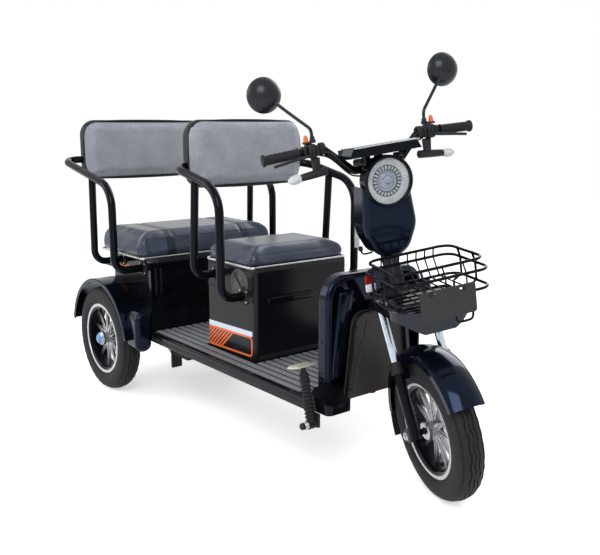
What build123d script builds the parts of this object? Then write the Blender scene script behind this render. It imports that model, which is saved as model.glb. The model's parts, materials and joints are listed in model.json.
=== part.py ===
from build123d import *
import os
from math import radians, sin, cos

# A small electric tricycle with two seats in a row, in millimetres.
# +X is the way it drives, +Y is its left side, +Z is up, and the floor is z = 0.
# Places along the vehicle are given ahead of the rear axle, and "ahead" turns them into x.

# ---- Wheels and axles
rear_axle_x = -691.78
wheelbase = 1428
rear_track = 596
tyre_radius = 203
tyre_width = 80
bead_radius = 128
bulge_share = 0.52
shoulder_share = 0.1
tread_share = 0.72
bead_gap = 0.3
lip_radius = 137
lip_thickness = 3
rim_width = 60
rim_wall = 9
spoke_pairs = 11
spoke_width = 6
spoke_depth = 12
spoke_spread = 7
spoke_root = 4
hub_radius = 26
hub_length = 76
rear_hub_inset = 40
hub_cap_radius = 22
hub_cap_reach = 14
running_gap = 0.05
rear_stub_radius = 10
front_axle_radius = 8
axle_tube_radius = 20
brake_drum_radius = 70
brake_drum_depth = 22
drum_gap = 1
stub_end_gap = 2
seat_gap = 0.3
cut_margin = 1

# ---- Motor and battery, each a plain block
motor_size = (170, 160)
motor_bottom = 130
motor_round = 20
battery_size = (220, 300, 180)
battery_round = 8

# ---- Floor, rails and neck
floor_top = 276
floor_edge = 31
floor_wall = 3
floor_half_width = 270
floor_front = 1185
floor_round = 6
corner_block_reach = 96
corner_block_height = 58
corner_block_front_height = 33
corner_block_width = 88
corner_block_inset = 3
corner_block_lift = 6
corner_block_round = 16
mat_thickness = 5
mat_margin = 14
mat_gap = 1
rail_height = 40
rail_width = 24
rail_spread = 150
rail_back = -160
cross_size = 26
rack_hole_radius = 4.5
rack_hole_spread = 100
neck_radius = 15
neck_setback = 20
neck_lean = 100
neck_bend = 60
neck_hole_gap = 2

# ---- Seat boxes, seats, backrests
box_wall = 3
front_box_start = 555
front_box_end = 840
front_box_half_width = 190
front_box_top = 568
front_box_round = 14
rear_box_start = -50
rear_box_end = 290
box_tyre_gap = 18
rear_box_top = 530
fascia_reach = 22
fascia_thickness = 15
fascia_bottom = 241
seat_base_thickness = 10
rear_seat_base_thickness = 15
seat_base_margin = 2
seat_base_round = 12
front_cushion_start = 558
front_cushion_end = 834
front_cushion_half_width = 199
front_cushion_thickness = 64
rear_cushion_start = -60
rear_cushion_end = 286
rear_cushion_reach = 54
rear_cushion_thickness = 93
cushion_corner = 45
cushion_round = 20
back_thickness = 57
front_back_face = 554
front_back_half_width = 230
front_back_bottom = 818
front_back_top = 1039
rear_back_face = -180
rear_back_reach = 32
rear_back_bottom = 810
rear_back_top = 1040
back_corner = 55
back_round = 18

# ---- Armrest hoops
arm_radius = 14
brace_radius = 13
front_arm_x = 780
front_arm_half_width = 279
front_arm_foot = 487
front_arm_top = 886
front_arm_front_top = 826
front_brace_x = 620
front_brace_top_x = 642
front_brace_foot = 537
rear_arm_x = 197
rear_arm_reach = 116
rear_arm_foot = 500
rear_arm_top = 884
rear_arm_front_top = 802
rear_brace_x = 30
rear_brace_top_x = 40
rear_brace_foot = 512
arm_foot_bend = 45
arm_top_bend = 95
arm_back_bend = 64
arm_sink = 26
arm_channel_depth = 42

# ---- Fenders, rear lamps and rear loop
fender_radius = 237
fender_wall = 3
fender_lip = 15
fender_tyre_reach = 7
fender_edge_round = 2
fender_front_angle = 10
fender_back_angle = 170
pod_start = 214
pod_end = 288
pod_width = 64
pod_bottom = 205
pod_top = 352
pod_round = 30
pod_front_round = 16
loop_radius = 5
loop_inset = 12
loop_height = 467
loop_back = -200
loop_bend = 30
lamp_size = (22, 80, 50)
lamp_inset = 55
lamp_height = 400
lamp_round = 6

# ---- Stand bracket, leg shield, apron and pedal
shield_back = 1140
shield_half_width = 192
shield_top = 610
shield_corner = 72
shield_wall = 4
shield_rim = 14
shield_depth = 45
shield_round = 12
shield_front_round = 11
apron_foot_half_width = 131
apron_top_half_width = 99
apron_bottom = 241
apron_top = 497
apron_corner = 42
apron_wall = 5
apron_lip = 6
apron_lip_width = 7
pedal_x = 1232
pedal_outset = 16
pedal_pivot_z = 222
pedal_pivot_reach = 34
pedal_pivot_radius = 7
pedal_lug = (28, 10, 12)
pedal_lean = 14
pedal_height = 165
boot_radius = 15
boot_rings = 9
boot_ring_depth = 3
boot_ring_share = 0.55
pad_size = (46, 74, 8)
bracket_x = 312
bracket_length = 120
bracket_depth = 40
bracket_plate = 10
bracket_foot = 40
bracket_bottom = 137
bracket_bar_low = 191
bracket_bar_high = 209
bracket_bar_thickness = 6
bracket_top = 249

# ---- Steering: a raked axis through the front wheel centre, parked turned to the right
rake = 23.6
rest_steer = 21.6
front_drop = 1.57
stem_radius = 15
head_tube_radius = 24
head_tube_low = 400
head_tube_high = 520
stem_top = 752
crown_low = 375
crown_thickness = 20
crown_collar = 5
tray_arm_half_width = 26
tray_arm_thickness = 16
lamp_arm_half_width = 20
lamp_arm_drop = 12
fork_lead = 18
fork_spread = 75
stanchion_radius = 12
leg_radius = 15
leg_top = 188
leg_bottom = -14
collar_radius = 18
collar_height = 14
axle_lug_radius = 20
axle_end_reach = 22
front_fender_radius = 226
front_fender_shift_x = 10
front_fender_shift_z = 12
front_fender_half_width = 50
front_fender_lip = 16
front_fender_camber = 16
front_fender_wall = 3
lug_low = 150
lug_high = 216
lug_width = 26
lug_outer = 56.7
front_fender_tip_angle = 34
front_fender_tail_angle = 188

# ---- Handlebar and what it carries, measured with the steering straight
bar_reach = 63
bar_radius = 11
bar_low = 906
bar_high = 982
bar_end_z = 974
bar_sweep = 8
bar_half_length = 315
bar_rise_start = 62
bar_rise_end = 146
bar_bend = 28
grip_radius = 16
grip_length = 104
grip_cap = 3
grip_gap = 0.2
clamp_size = (62, 60, 34)
riser_inner = 12
riser_outer = 26
riser_back = 20
riser_front = 10
housing_size = (44, 50, 40)
housing_place = 180
housing_round = 9
lever_radius = 5
lever_bend = 8
lever_root = 14
lever_ahead = 26
lever_below = 6
lever_knee = (16, 18, 4)
lever_tip_back = 10
lever_length = 118
lever_drop = 20
dash_reach = 93
dash_length = 150
dash_half_width = 107
dash_top_half_width = 93
dash_back_half_width = 80
dash_slope = 0.1
dash_bar_gap = 20
dash_low = 951
dash_high = 977
turn_drop = 62
turn_inner = 140
turn_outer = 218
turn_tip = 256
turn_slope = 0.1
turn_body_radius = 11
turn_body_share = 0.85
lens_bulge_place = 234
lens_bulge_radius = 13
turn_stem_place = 170
turn_stem_half = 12
turn_stem_thickness = 8
lens_tip_radius = 4
mirror_setback = 50
mirror_place = 272
mirror_rise = 160
mirror_radius = 49
mirror_rim = 7
mirror_depth = 34
mirror_glass_setback = 11
mirror_stem_radius = 5
mirror_stem_bend = 14
mirror_stem_knee = 54
mirror_stem_setback = 4
mirror_dome_share = 0.8

# ---- Headlamp and cowl
lamp_height_front = 875
lamp_reach = 94
lamp_shell_radius = 70
lamp_shell_depth = 62
lamp_bezel = 7
lamp_back_round = 24
lamp_bowl_share = 0.6
lens_thickness = 8
lens_round = 5
lens_gap = 0.3
cowl_reach = 82
cowl_depth = 76
cowl_bottom = 660
cowl_top = 905
cowl_half_width = 82
cowl_wall = 5
cowl_round = 18
cowl_cheek = 82
cowl_chin_bend = 60
cowl_cheek_bend = 80
cowl_top_bend = 26
cowl_chin_share = 0.55
cowl_top_share = 0.8
cowl_front_wall = 8
cowl_stem_gap = 8

# ---- Front carrier, nose tray and blank plate
wire_radius = 4
thin_wire_radius = 2.2
stay_wire_radius = 3.2
wire_bend = 6
basket_bend = 8
basket_wires = 7
basket_wire_pitch = 26
front_stay_spread = 58
ring_setback = 14
ring_low = 612
ring_mid = 660
ring_high = 686
carrier_back = 1345
carrier_front = 1554
carrier_half_width = 130
carrier_bend = 34
tray_back = 1350
tray_front = 1505
tray_half_width = 112
tray_top = 575
tray_side = 548
tray_low = 506
tray_keel_half_width = 45
tray_round = 7
tray_corner = 62
plate_width = 156
plate_height = 78
plate_thickness = 2
plate_bottom = 559
plate_slot = (14, 5)
plate_slot_drop = 10
plate_corner = 8


def ahead(distance):
    return rear_axle_x + distance


front_x = ahead(wheelbase)
wheel_place = rear_track / 2
rear_box_half_width = wheel_place - tyre_width / 2 - box_tyre_gap
fascia_half_width = rear_box_half_width + fascia_reach
rear_cushion_half_width = rear_box_half_width + rear_cushion_reach
rear_back_half_width = rear_box_half_width + rear_back_reach
rear_arm_half_width = rear_box_half_width + rear_arm_reach
fender_outer = wheel_place + tyre_width / 2 + fender_tyre_reach
pod_outer = fascia_half_width + pod_width
loop_half_width = rear_box_half_width - loop_inset
lamp_spread = rear_box_half_width - lamp_inset
bar_x = wheelbase - stem_top * sin(radians(rake)) + bar_reach
bar_end_x = bar_x - bar_sweep
dash_front = bar_x + dash_reach
turn_height = bar_high - turn_drop
mirror_x = bar_x - mirror_setback
mirror_height = bar_high + mirror_rise
lamp_face = bar_x + lamp_reach
cowl_front = bar_x + cowl_reach
cowl_back = cowl_front - cowl_depth
floor_low = floor_top - floor_edge
rail_top = floor_top - floor_wall
front_cushion_low = front_box_top + seat_gap + seat_base_thickness
rear_cushion_low = rear_box_top + seat_gap + rear_seat_base_thickness
up_axis = Vector(-sin(radians(rake)), 0, cos(radians(rake)))
forward_axis = Vector(cos(radians(rake)), 0, sin(radians(rake)))
front_wheel_z = tyre_radius - front_drop
wheel_centre = Vector(front_x, 0, front_wheel_z)
steering_axis = Axis(wheel_centre, up_axis)
side_plane = Plane(origin=(0, 0, 0), x_dir=(1, 0, 0), z_dir=(0, -1, 0))


def head_plane(height):
    """The plane across the steering axis, this far above the front wheel centre."""
    return Plane(origin=wheel_centre + up_axis * height, x_dir=forward_axis, z_dir=up_axis)


def on_axis(height):
    return wheel_centre + up_axis * height


def turned(piece):
    """The piece as it parks, with the steering turned to the right."""
    return piece.rotate(steering_axis, -rest_steer)


def cross_plane(x):
    """The upright plane across the vehicle at x: its own x runs to the left, its y up."""
    return Plane(origin=(x, 0, 0), x_dir=(0, 1, 0), z_dir=(1, 0, 0))


def rod(points, bends, radius):
    """Adds a round bar along straight runs joined by bends."""
    with BuildLine() as route:
        if bends:
            FilletPolyline(*points, radius=bends)
        else:
            Polyline(*points)
    with BuildSketch(Plane(origin=route.line @ 0, z_dir=route.line % 0)) as section:
        Circle(radius)
    sweep(section.sketch, path=route.line)


def block(x_range, y_range, z_range, mode=Mode.ADD):
    """Adds or cuts a straight block between two corners."""
    plane = Plane.XY.offset(z_range[0])
    with BuildSketch(plane) as outline:
        with Locations(((x_range[0] + x_range[1]) / 2, (y_range[0] + y_range[1]) / 2)):
            Rectangle(x_range[1] - x_range[0], y_range[1] - y_range[0])
    extrude(outline.sketch, amount=z_range[1] - z_range[0], mode=mode)


def across(x, z, radius, y_range, mode=Mode.ADD):
    """Adds or cuts a round bar that lies across the vehicle."""
    with BuildSketch(side_plane.offset(-y_range[1])) as disc:
        with Locations((x, z)):
            Circle(radius)
    extrude(disc.sketch, amount=y_range[1] - y_range[0], mode=mode)


os.makedirs("parts", exist_ok=True)


# ---- Tyres and wheels

def tyre_ring(x, y, z):
    """A tyre round the wheel axis at x, y: rounded tread, bulged sides, narrow beads."""
    bead_half = rim_width / 2 - bead_gap
    half = tyre_width / 2
    depth = tyre_radius - bead_radius
    bulge_radius = bead_radius + depth * bulge_share
    shoulder_radius = tyre_radius - depth * shoulder_share
    shoulder = half * tread_share
    bead_top = lip_radius + cut_margin
    section_plane = Plane(origin=(x, y, z), x_dir=(0, 1, 0), z_dir=(-1, 0, 0))
    with BuildPart() as ring:
        with BuildSketch(section_plane):
            with BuildLine():
                bead = Polyline(
                    (-bead_half, -bead_top),
                    (-bead_half, -(bead_radius + bead_gap)),
                    (bead_half, -(bead_radius + bead_gap)),
                    (bead_half, -bead_top),
                )
                wall = ThreePointArc(
                    bead @ 1,
                    (half, -bulge_radius),
                    (shoulder, -shoulder_radius),
                )
                tread = ThreePointArc(wall @ 1, (0, -tyre_radius), (-shoulder, -shoulder_radius))
                ThreePointArc(tread @ 1, (-half, -bulge_radius), bead @ 0)
            make_face()
        revolve(axis=Axis((x, y, z), (0, 1, 0)))
    return ring.part


def spoked_rim(x, y, z, bore_radius, side):
    """A spoked alloy wheel. side is 0 for the front wheel, which has its axle right through,
    and +1 or -1 for a rear wheel, which has a closed cap on that side."""
    half = rim_width / 2
    wheel_plane = side_plane.offset(-y)
    inner = bead_radius - rim_wall
    hub_half = hub_length / 2
    with BuildPart() as rim:
        with BuildSketch(side_plane.offset(-y - half)):
            with Locations((x, z)):
                Circle(bead_radius)
                Circle(inner, mode=Mode.SUBTRACT)
        extrude(amount=rim_width)
        for edge in (-half - lip_thickness, half):
            with BuildSketch(side_plane.offset(-y + edge)):
                with Locations((x, z)):
                    Circle(lip_radius)
                    Circle(inner, mode=Mode.SUBTRACT)
            extrude(amount=lip_thickness)
        with BuildSketch(wheel_plane.offset(-hub_half)):
            with Locations((x, z)):
                Circle(hub_radius)
        extrude(amount=hub_length)
        with BuildSketch(wheel_plane.offset(-spoke_depth / 2)):
            with Locations((x, z)):
                with PolarLocations(0, spoke_pairs):
                    for shift in (-spoke_spread, spoke_spread):
                        with Locations(((hub_radius + inner) / 2, shift)):
                            Rectangle(inner - hub_radius + 2 * spoke_root, spoke_width)
        extrude(amount=spoke_depth)
        if side:
            cap_start = y + side * hub_half
            across(x, z, hub_cap_radius, sorted((cap_start, cap_start + side * hub_cap_reach)))
            across(
                x,
                z,
                bore_radius,
                sorted((y - side * (hub_half + cut_margin), y + side * rear_hub_inset)),
                Mode.SUBTRACT,
            )
        else:
            across(
                x,
                z,
                bore_radius,
                (y - hub_half - cut_margin, y + hub_half + cut_margin),
                Mode.SUBTRACT,
            )
    return rim.part


for name, side in (("right", -1), ("left", 1)):
    tyre = tyre_ring(rear_axle_x, side * wheel_place, tyre_radius)
    tyre.label = "rear_tyre_" + name
    export_step(tyre, "parts/rear_tyre_" + name + ".step")
    stub_bore = rear_stub_radius + running_gap
    rim = spoked_rim(rear_axle_x, side * wheel_place, tyre_radius, stub_bore, side)
    rim.label = "rear_rim_" + name
    export_step(rim, "parts/rear_rim_" + name + ".step")

front_tyre = turned(tyre_ring(front_x, 0, front_wheel_z))
front_tyre.label = "front_tyre"
export_step(front_tyre, "parts/front_tyre.step")

front_rim = turned(spoked_rim(front_x, 0, front_wheel_z, front_axle_radius + running_gap, 0))
front_rim.label = "front_rim"
export_step(front_rim, "parts/front_rim.step")


# ---- Chassis: two rails, cross bars, the stand bracket, the neck and the head tube

with BuildPart() as chassis:
    for side in (-1, 1):
        block(
            (ahead(rail_back), ahead(shield_back)),
            (side * rail_spread - rail_width / 2, side * rail_spread + rail_width / 2),
            (rail_top - rail_height, rail_top),
        )
    for bar_start in (rail_back, rear_box_end + cross_size, front_box_end, shield_back - cross_size):
        block(
            (ahead(bar_start), ahead(bar_start) + cross_size),
            (-rail_spread, rail_spread),
            (rail_top - rail_height, rail_top - rail_height + cross_size),
        )
    with BuildSketch(cross_plane(ahead(rail_back))):
        bar_middle = rail_top - rail_height + cross_size / 2
        with Locations((-rack_hole_spread, bar_middle), (rack_hole_spread, bar_middle)):
            Circle(rack_hole_radius)
    extrude(amount=cross_size, mode=Mode.SUBTRACT)
    bracket_y = -rail_spread - rail_width / 2
    block(
        (ahead(bracket_x), ahead(bracket_x) + bracket_plate),
        (bracket_y - bracket_depth, bracket_y),
        (bracket_bottom, bracket_top),
    )
    block(
        (ahead(bracket_x), ahead(bracket_x) + bracket_length),
        (bracket_y - bracket_depth, bracket_y - bracket_depth + bracket_bar_thickness),
        (bracket_bar_low, bracket_bar_high),
    )
    block(
        (ahead(bracket_x) + bracket_length - bracket_foot, ahead(bracket_x) + bracket_length),
        (bracket_y - bracket_depth, bracket_y),
        (bracket_bar_low, bracket_top),
    )
    neck_x = ahead(floor_front - neck_setback)
    neck_foot = rail_top - rail_height + neck_radius
    neck_join = on_axis(head_tube_low + neck_radius * 2)
    neck_knee = (neck_x, 0, neck_join.Z - neck_lean)
    rod([(ahead(shield_back - cross_size), 0, neck_foot), (neck_x, 0, neck_foot)], None, neck_radius)
    rod([(neck_x, 0, neck_foot - neck_radius), neck_knee, neck_join], neck_bend, neck_radius)
    with BuildSketch(head_plane(head_tube_low)):
        Circle(head_tube_radius)
    extrude(amount=head_tube_high - head_tube_low)
    with BuildSketch(head_plane(head_tube_low)):
        Circle(stem_radius + running_gap)
    extrude(amount=head_tube_high - head_tube_low, mode=Mode.SUBTRACT)
chassis.part.label = "chassis"
export_step(chassis.part, "parts/chassis.step")


# ---- Rear axle, drive motor and battery

with BuildPart() as rear_axle:
    hub_inner = wheel_place - hub_length / 2
    drum_end = hub_inner - drum_gap
    stub_end = wheel_place + rear_hub_inset - stub_end_gap
    across(rear_axle_x, tyre_radius, axle_tube_radius, (-drum_end, drum_end))
    across(rear_axle_x, tyre_radius, rear_stub_radius, (-stub_end, stub_end))
    for side in (-1, 1):
        across(
            rear_axle_x,
            tyre_radius,
            brake_drum_radius,
            sorted((side * drum_end, side * (drum_end - brake_drum_depth))),
        )
        block(
            (rear_axle_x - axle_tube_radius, rear_axle_x + axle_tube_radius),
            (side * rail_spread - rail_width / 2, side * rail_spread + rail_width / 2),
            (tyre_radius, rail_top - rail_height),
        )
rear_axle.part.label = "rear_axle"
export_step(rear_axle.part, "parts/rear_axle.step")

with BuildPart() as drive_motor:
    block(
        (rear_axle_x, rear_axle_x + motor_size[0]),
        (-motor_size[1] / 2, motor_size[1] / 2),
        (motor_bottom, rail_top - rail_height),
    )
    across(
        rear_axle_x,
        tyre_radius,
        axle_tube_radius + seat_gap,
        (-motor_size[1], motor_size[1]),
        Mode.SUBTRACT,
    )
    fillet(drive_motor.edges().filter_by(Axis.Y).group_by(Axis.X)[-1], motor_round)
drive_motor.part.label = "drive_motor"
export_step(drive_motor.part, "parts/drive_motor.step")

with BuildPart() as battery:
    centre_x = ahead((rear_box_start + rear_box_end) / 2)
    block(
        (centre_x - battery_size[0] / 2, centre_x + battery_size[0] / 2),
        (-battery_size[1] / 2, battery_size[1] / 2),
        (rail_top + box_wall, rail_top + box_wall + battery_size[2]),
    )
    fillet(battery.edges().filter_by(Axis.Z), battery_round)
battery.part.label = "battery"
export_step(battery.part, "parts/battery.step")


# ---- Floor pan with its two front corner blocks, and the ribbed mat

with BuildPart() as floor_pan:
    block(
        (ahead(rear_box_end), ahead(floor_front)),
        (-floor_half_width, floor_half_width),
        (floor_low, floor_top),
    )
    fillet(floor_pan.edges().filter_by(Axis.X).group_by(Axis.Z)[-1], floor_round)
    block(
        (ahead(rear_box_end) - cut_margin, ahead(floor_front) - floor_wall),
        (-floor_half_width + floor_wall, floor_half_width - floor_wall),
        (floor_low - cut_margin, rail_top),
        Mode.SUBTRACT,
    )
    for side in (-1, 1):
        outer = floor_half_width - corner_block_inset
        reach_x = ahead(floor_front) + corner_block_reach
        with BuildSketch(side_plane.offset(-side * outer)):
            with BuildLine():
                Polyline(
                    (ahead(floor_front), floor_low + corner_block_lift),
                    (reach_x, floor_low + corner_block_lift),
                    (reach_x, floor_low + corner_block_front_height),
                    (ahead(floor_front), floor_low + corner_block_height),
                    close=True,
                )
            make_face()
        extrude(amount=side * corner_block_width)
    block_front = floor_pan.faces().filter_by(Axis.X).sort_by(Axis.X)[-2:]
    fillet(block_front.edges().filter_by(Axis.Z), corner_block_round)
    with BuildSketch(Plane.XY.offset(rail_top)):
        with Locations((neck_x, 0)):
            Circle(neck_radius + neck_hole_gap)
    extrude(amount=floor_wall, mode=Mode.SUBTRACT)
floor_pan.part.label = "floor_pan"
export_step(floor_pan.part, "parts/floor_pan.step")

with BuildPart() as floor_mat:
    block(
        (ahead(rear_box_end) + mat_gap, ahead(shield_back) - mat_gap),
        (-floor_half_width + mat_margin, floor_half_width - mat_margin),
        (floor_top, floor_top + mat_thickness),
    )
    block(
        (ahead(front_box_start) - mat_gap, ahead(front_box_end) + mat_gap),
        (-front_box_half_width - mat_gap, front_box_half_width + mat_gap),
        (floor_top - cut_margin, floor_top + mat_thickness + cut_margin),
        Mode.SUBTRACT,
    )
floor_mat.part.label = "floor_mat"
export_step(floor_mat.part, "parts/floor_mat.step")


# ---- Seat boxes, open at the top under their seats

with BuildPart() as front_seat_box:
    block(
        (ahead(front_box_start), ahead(front_box_end)),
        (-front_box_half_width, front_box_half_width),
        (floor_top, front_box_top),
    )
    fillet(front_seat_box.edges().filter_by(Axis.Z), front_box_round)
    offset(amount=-box_wall, openings=front_seat_box.faces().sort_by(Axis.Z)[-1])
front_seat_box.part.label = "front_seat_box"
export_step(front_seat_box.part, "parts/front_seat_box.step")

with BuildPart() as rear_seat_box:
    block(
        (ahead(rear_box_start), ahead(rear_box_end)),
        (-rear_box_half_width, rear_box_half_width),
        (rail_top, rear_box_top),
    )
    offset(amount=-box_wall, openings=rear_seat_box.faces().sort_by(Axis.Z)[-1])
    for side in (-1, 1):
        block(
            (ahead(rear_box_end) - fascia_thickness, ahead(rear_box_end)),
            sorted((side * rear_box_half_width, side * fascia_half_width)),
            (fascia_bottom, rear_box_top),
        )
rear_seat_box.part.label = "rear_seat_box"
export_step(rear_seat_box.part, "parts/rear_seat_box.step")


# ---- Seats: a hinged base board with a cushion on it

def seat_base(start, end, half_width, low, thickness):
    with BuildPart() as base:
        block((ahead(start), ahead(end)), (-half_width, half_width), (low, low + thickness))
        fillet(base.edges().filter_by(Axis.Z), seat_base_round)
    return base.part


def cushion(start, end, half_width, low, thickness):
    with BuildPart() as pad:
        block((ahead(start), ahead(end)), (-half_width, half_width), (low, low + thickness))
        fillet(pad.edges().filter_by(Axis.Z), cushion_corner)
        fillet(pad.faces().sort_by(Axis.Z)[-1].edges(), cushion_round)
    return pad.part


front_seat_base = seat_base(
    front_box_start,
    front_box_end,
    front_box_half_width - seat_base_margin,
    front_box_top + seat_gap,
    seat_base_thickness,
)
front_seat_base.label = "front_seat_base"
export_step(front_seat_base, "parts/front_seat_base.step")

front_cushion = cushion(
    front_cushion_start,
    front_cushion_end,
    front_cushion_half_width,
    front_cushion_low,
    front_cushion_thickness,
)
front_cushion.label = "front_cushion"
export_step(front_cushion, "parts/front_cushion.step")

rear_seat_base = seat_base(
    rear_box_start,
    rear_box_end,
    rear_box_half_width - seat_base_margin,
    rear_box_top + seat_gap,
    rear_seat_base_thickness,
)
rear_seat_base.label = "rear_seat_base"
export_step(rear_seat_base, "parts/rear_seat_base.step")

rear_cushion = cushion(
    rear_cushion_start,
    rear_cushion_end,
    rear_cushion_half_width,
    rear_cushion_low,
    rear_cushion_thickness,
)
rear_cushion.label = "rear_cushion"
export_step(rear_cushion, "parts/rear_cushion.step")


# ---- Backrests

def backrest(face, half_width, low, high, bar_height):
    """A padded back, with a channel behind it for the hoop that carries it."""
    back_x = ahead(face) - back_thickness
    channel = arm_radius + seat_gap
    with BuildPart() as back:
        with BuildSketch(cross_plane(back_x)):
            with Locations((0, (low + high) / 2)):
                RectangleRounded(2 * half_width, high - low, back_corner)
        extrude(amount=back_thickness)
        fillet(back.faces().sort_by(Axis.X)[-1].edges(), back_round)
        block(
            (back_x - cut_margin, back_x + arm_channel_depth),
            (-half_width - cut_margin, half_width + cut_margin),
            (bar_height - channel, bar_height + channel),
            Mode.SUBTRACT,
        )
    return back.part


front_backrest = backrest(
    front_back_face,
    front_back_half_width,
    front_back_bottom,
    front_back_top,
    front_arm_top,
)
front_backrest.label = "front_backrest"
export_step(front_backrest, "parts/front_backrest.step")

rear_backrest = backrest(
    rear_back_face,
    rear_back_half_width,
    rear_back_bottom,
    rear_back_top,
    rear_arm_top,
)
rear_backrest.label = "rear_backrest"
export_step(rear_backrest, "parts/rear_backrest.step")


# ---- Armrests: one bent hoop that carries the backrest, and a brace on each side

def arm_hoop(
    arm_x, half_width, foot, top, front_top, back_x, flank, brace_x, brace_top_x, brace_foot
):
    x = ahead(arm_x)
    back = ahead(back_x) - back_thickness - arm_radius + arm_sink
    brace_top = top - (top - front_top) * (ahead(brace_top_x) - back) / (x - back)
    with BuildPart() as hoop:
        rod(
            [
                (x, flank, foot),
                (x, half_width, foot),
                (x, half_width, front_top),
                (back, half_width, top),
                (back, 0, top),
            ],
            [arm_foot_bend, arm_top_bend, arm_back_bend],
            arm_radius,
        )
        rod(
            [
                (ahead(brace_x), flank, brace_foot),
                (ahead(brace_x), half_width, brace_foot),
                (ahead(brace_top_x), half_width, brace_top),
            ],
            arm_foot_bend,
            brace_radius,
        )
        mirror(about=Plane.XZ)
    return hoop.part


front_armrest = arm_hoop(
    front_arm_x,
    front_arm_half_width,
    front_arm_foot,
    front_arm_top,
    front_arm_front_top,
    front_back_face,
    front_box_half_width,
    front_brace_x,
    front_brace_top_x,
    front_brace_foot,
)
front_armrest.label = "front_armrest"
export_step(front_armrest, "parts/front_armrest.step")

rear_armrest = arm_hoop(
    rear_arm_x,
    rear_arm_half_width,
    rear_arm_foot,
    rear_arm_top,
    rear_arm_front_top,
    rear_back_face,
    rear_box_half_width,
    rear_brace_x,
    rear_brace_top_x,
    rear_brace_foot,
)
rear_armrest.label = "rear_armrest"
export_step(rear_armrest, "parts/rear_armrest.step")


# ---- Rear fenders, rear loop and rear lamps

def rear_fender(side):
    inner_y = side * rear_box_half_width
    outer_y = side * fender_outer
    section_plane = Plane(
        origin=(rear_axle_x, 0, tyre_radius),
        x_dir=(cos(radians(fender_front_angle)), 0, sin(radians(fender_front_angle))),
        z_dir=(-sin(radians(fender_front_angle)), 0, cos(radians(fender_front_angle))),
    )
    with BuildPart() as guard:
        with BuildSketch(section_plane):
            with BuildLine():
                Polyline(
                    (fender_radius, inner_y),
                    (fender_radius, outer_y),
                    (fender_radius - fender_lip, outer_y),
                    (fender_radius - fender_lip, outer_y - side * fender_wall),
                    (fender_radius - fender_wall, outer_y - side * fender_wall),
                    (fender_radius - fender_wall, inner_y),
                    close=True,
                )
            make_face()
        revolve(
            axis=Axis((rear_axle_x, 0, tyre_radius), (0, -1, 0)),
            revolution_arc=fender_back_angle - fender_front_angle,
        )
        arcs = guard.edges().filter_by(GeomType.CIRCLE)
        fillet(arcs.sort_by(lambda arc: abs(arc.center().Y))[-2:], fender_edge_round)
        with BuildSketch(cross_plane(ahead(pod_start))):
            with Locations((side * (fascia_half_width + pod_outer) / 2, (pod_bottom + pod_top) / 2)):
                RectangleRounded(pod_outer - fascia_half_width, pod_top - pod_bottom, pod_round)
        extrude(amount=pod_end - pod_start)
        fillet(guard.faces().sort_by(Axis.X)[-1].edges(), pod_front_round)
    return guard.part


for name, side in (("right", -1), ("left", 1)):
    guard = rear_fender(side)
    guard.label = "rear_fender_" + name
    export_step(guard, "parts/rear_fender_" + name + ".step")

with BuildPart() as rear_loop:
    loop_root = ahead(rear_box_start)
    loop_end = ahead(loop_back)
    rod(
        [
            (loop_root, -loop_half_width, loop_height),
            (loop_end, -loop_half_width, loop_height),
            (loop_end, loop_half_width, loop_height),
            (loop_root, loop_half_width, loop_height),
        ],
        loop_bend,
        loop_radius,
    )
rear_loop.part.label = "rear_loop"
export_step(rear_loop.part, "parts/rear_loop.step")

with BuildPart() as rear_lamps:
    for side in (-1, 1):
        middle = side * lamp_spread
        block(
            (ahead(rear_box_start) - lamp_size[0], ahead(rear_box_start)),
            (middle - lamp_size[1] / 2, middle + lamp_size[1] / 2),
            (lamp_height - lamp_size[2] / 2, lamp_height + lamp_size[2] / 2),
        )
    fillet(rear_lamps.faces().sort_by(Axis.X)[:2].edges(), lamp_round)
rear_lamps.part.label = "rear_lamps"
export_step(rear_lamps.part, "parts/rear_lamps.step")


# ---- Leg shield, front apron and brake pedal

with BuildPart() as leg_shield:
    shield_x = ahead(shield_back)
    shield_height = shield_top - floor_top
    with BuildSketch(cross_plane(shield_x)) as outline:
        with Locations((0, floor_top + shield_height / 2)):
            Rectangle(2 * shield_half_width, shield_height)
        fillet(outline.vertices().group_by(Axis.Y)[-1], shield_corner)
    extrude(amount=shield_depth)
    fillet(leg_shield.faces().sort_by(Axis.X)[0].edges().sort_by(Axis.Z)[1:], shield_round)
    fillet(leg_shield.faces().sort_by(Axis.X)[-1].edges().sort_by(Axis.Z)[1:], shield_front_round)
    with BuildSketch(cross_plane(shield_x + shield_wall)) as hollow:
        with Locations((0, floor_top + (shield_height - shield_rim) / 2)):
            Rectangle(2 * (shield_half_width - shield_rim), shield_height - shield_rim)
        fillet(hollow.vertices().group_by(Axis.Y)[-1], shield_corner - shield_rim)
    extrude(amount=shield_depth, mode=Mode.SUBTRACT)
leg_shield.part.label = "leg_shield"
export_step(leg_shield.part, "parts/leg_shield.step")


def apron_outline(inset):
    """The apron's outline, drawn in from its real sides and top by the inset."""
    foot_x = apron_foot_half_width - inset
    top_x = apron_top_half_width - inset
    top = apron_top - inset
    with BuildLine() as edge:
        over = FilletPolyline(
            (-foot_x, apron_bottom),
            (-top_x, top),
            (top_x, top),
            (foot_x, apron_bottom),
            radius=apron_corner - inset,
        )
        Line(over @ 1, over @ 0)
    make_face(edge.edges())


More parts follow.
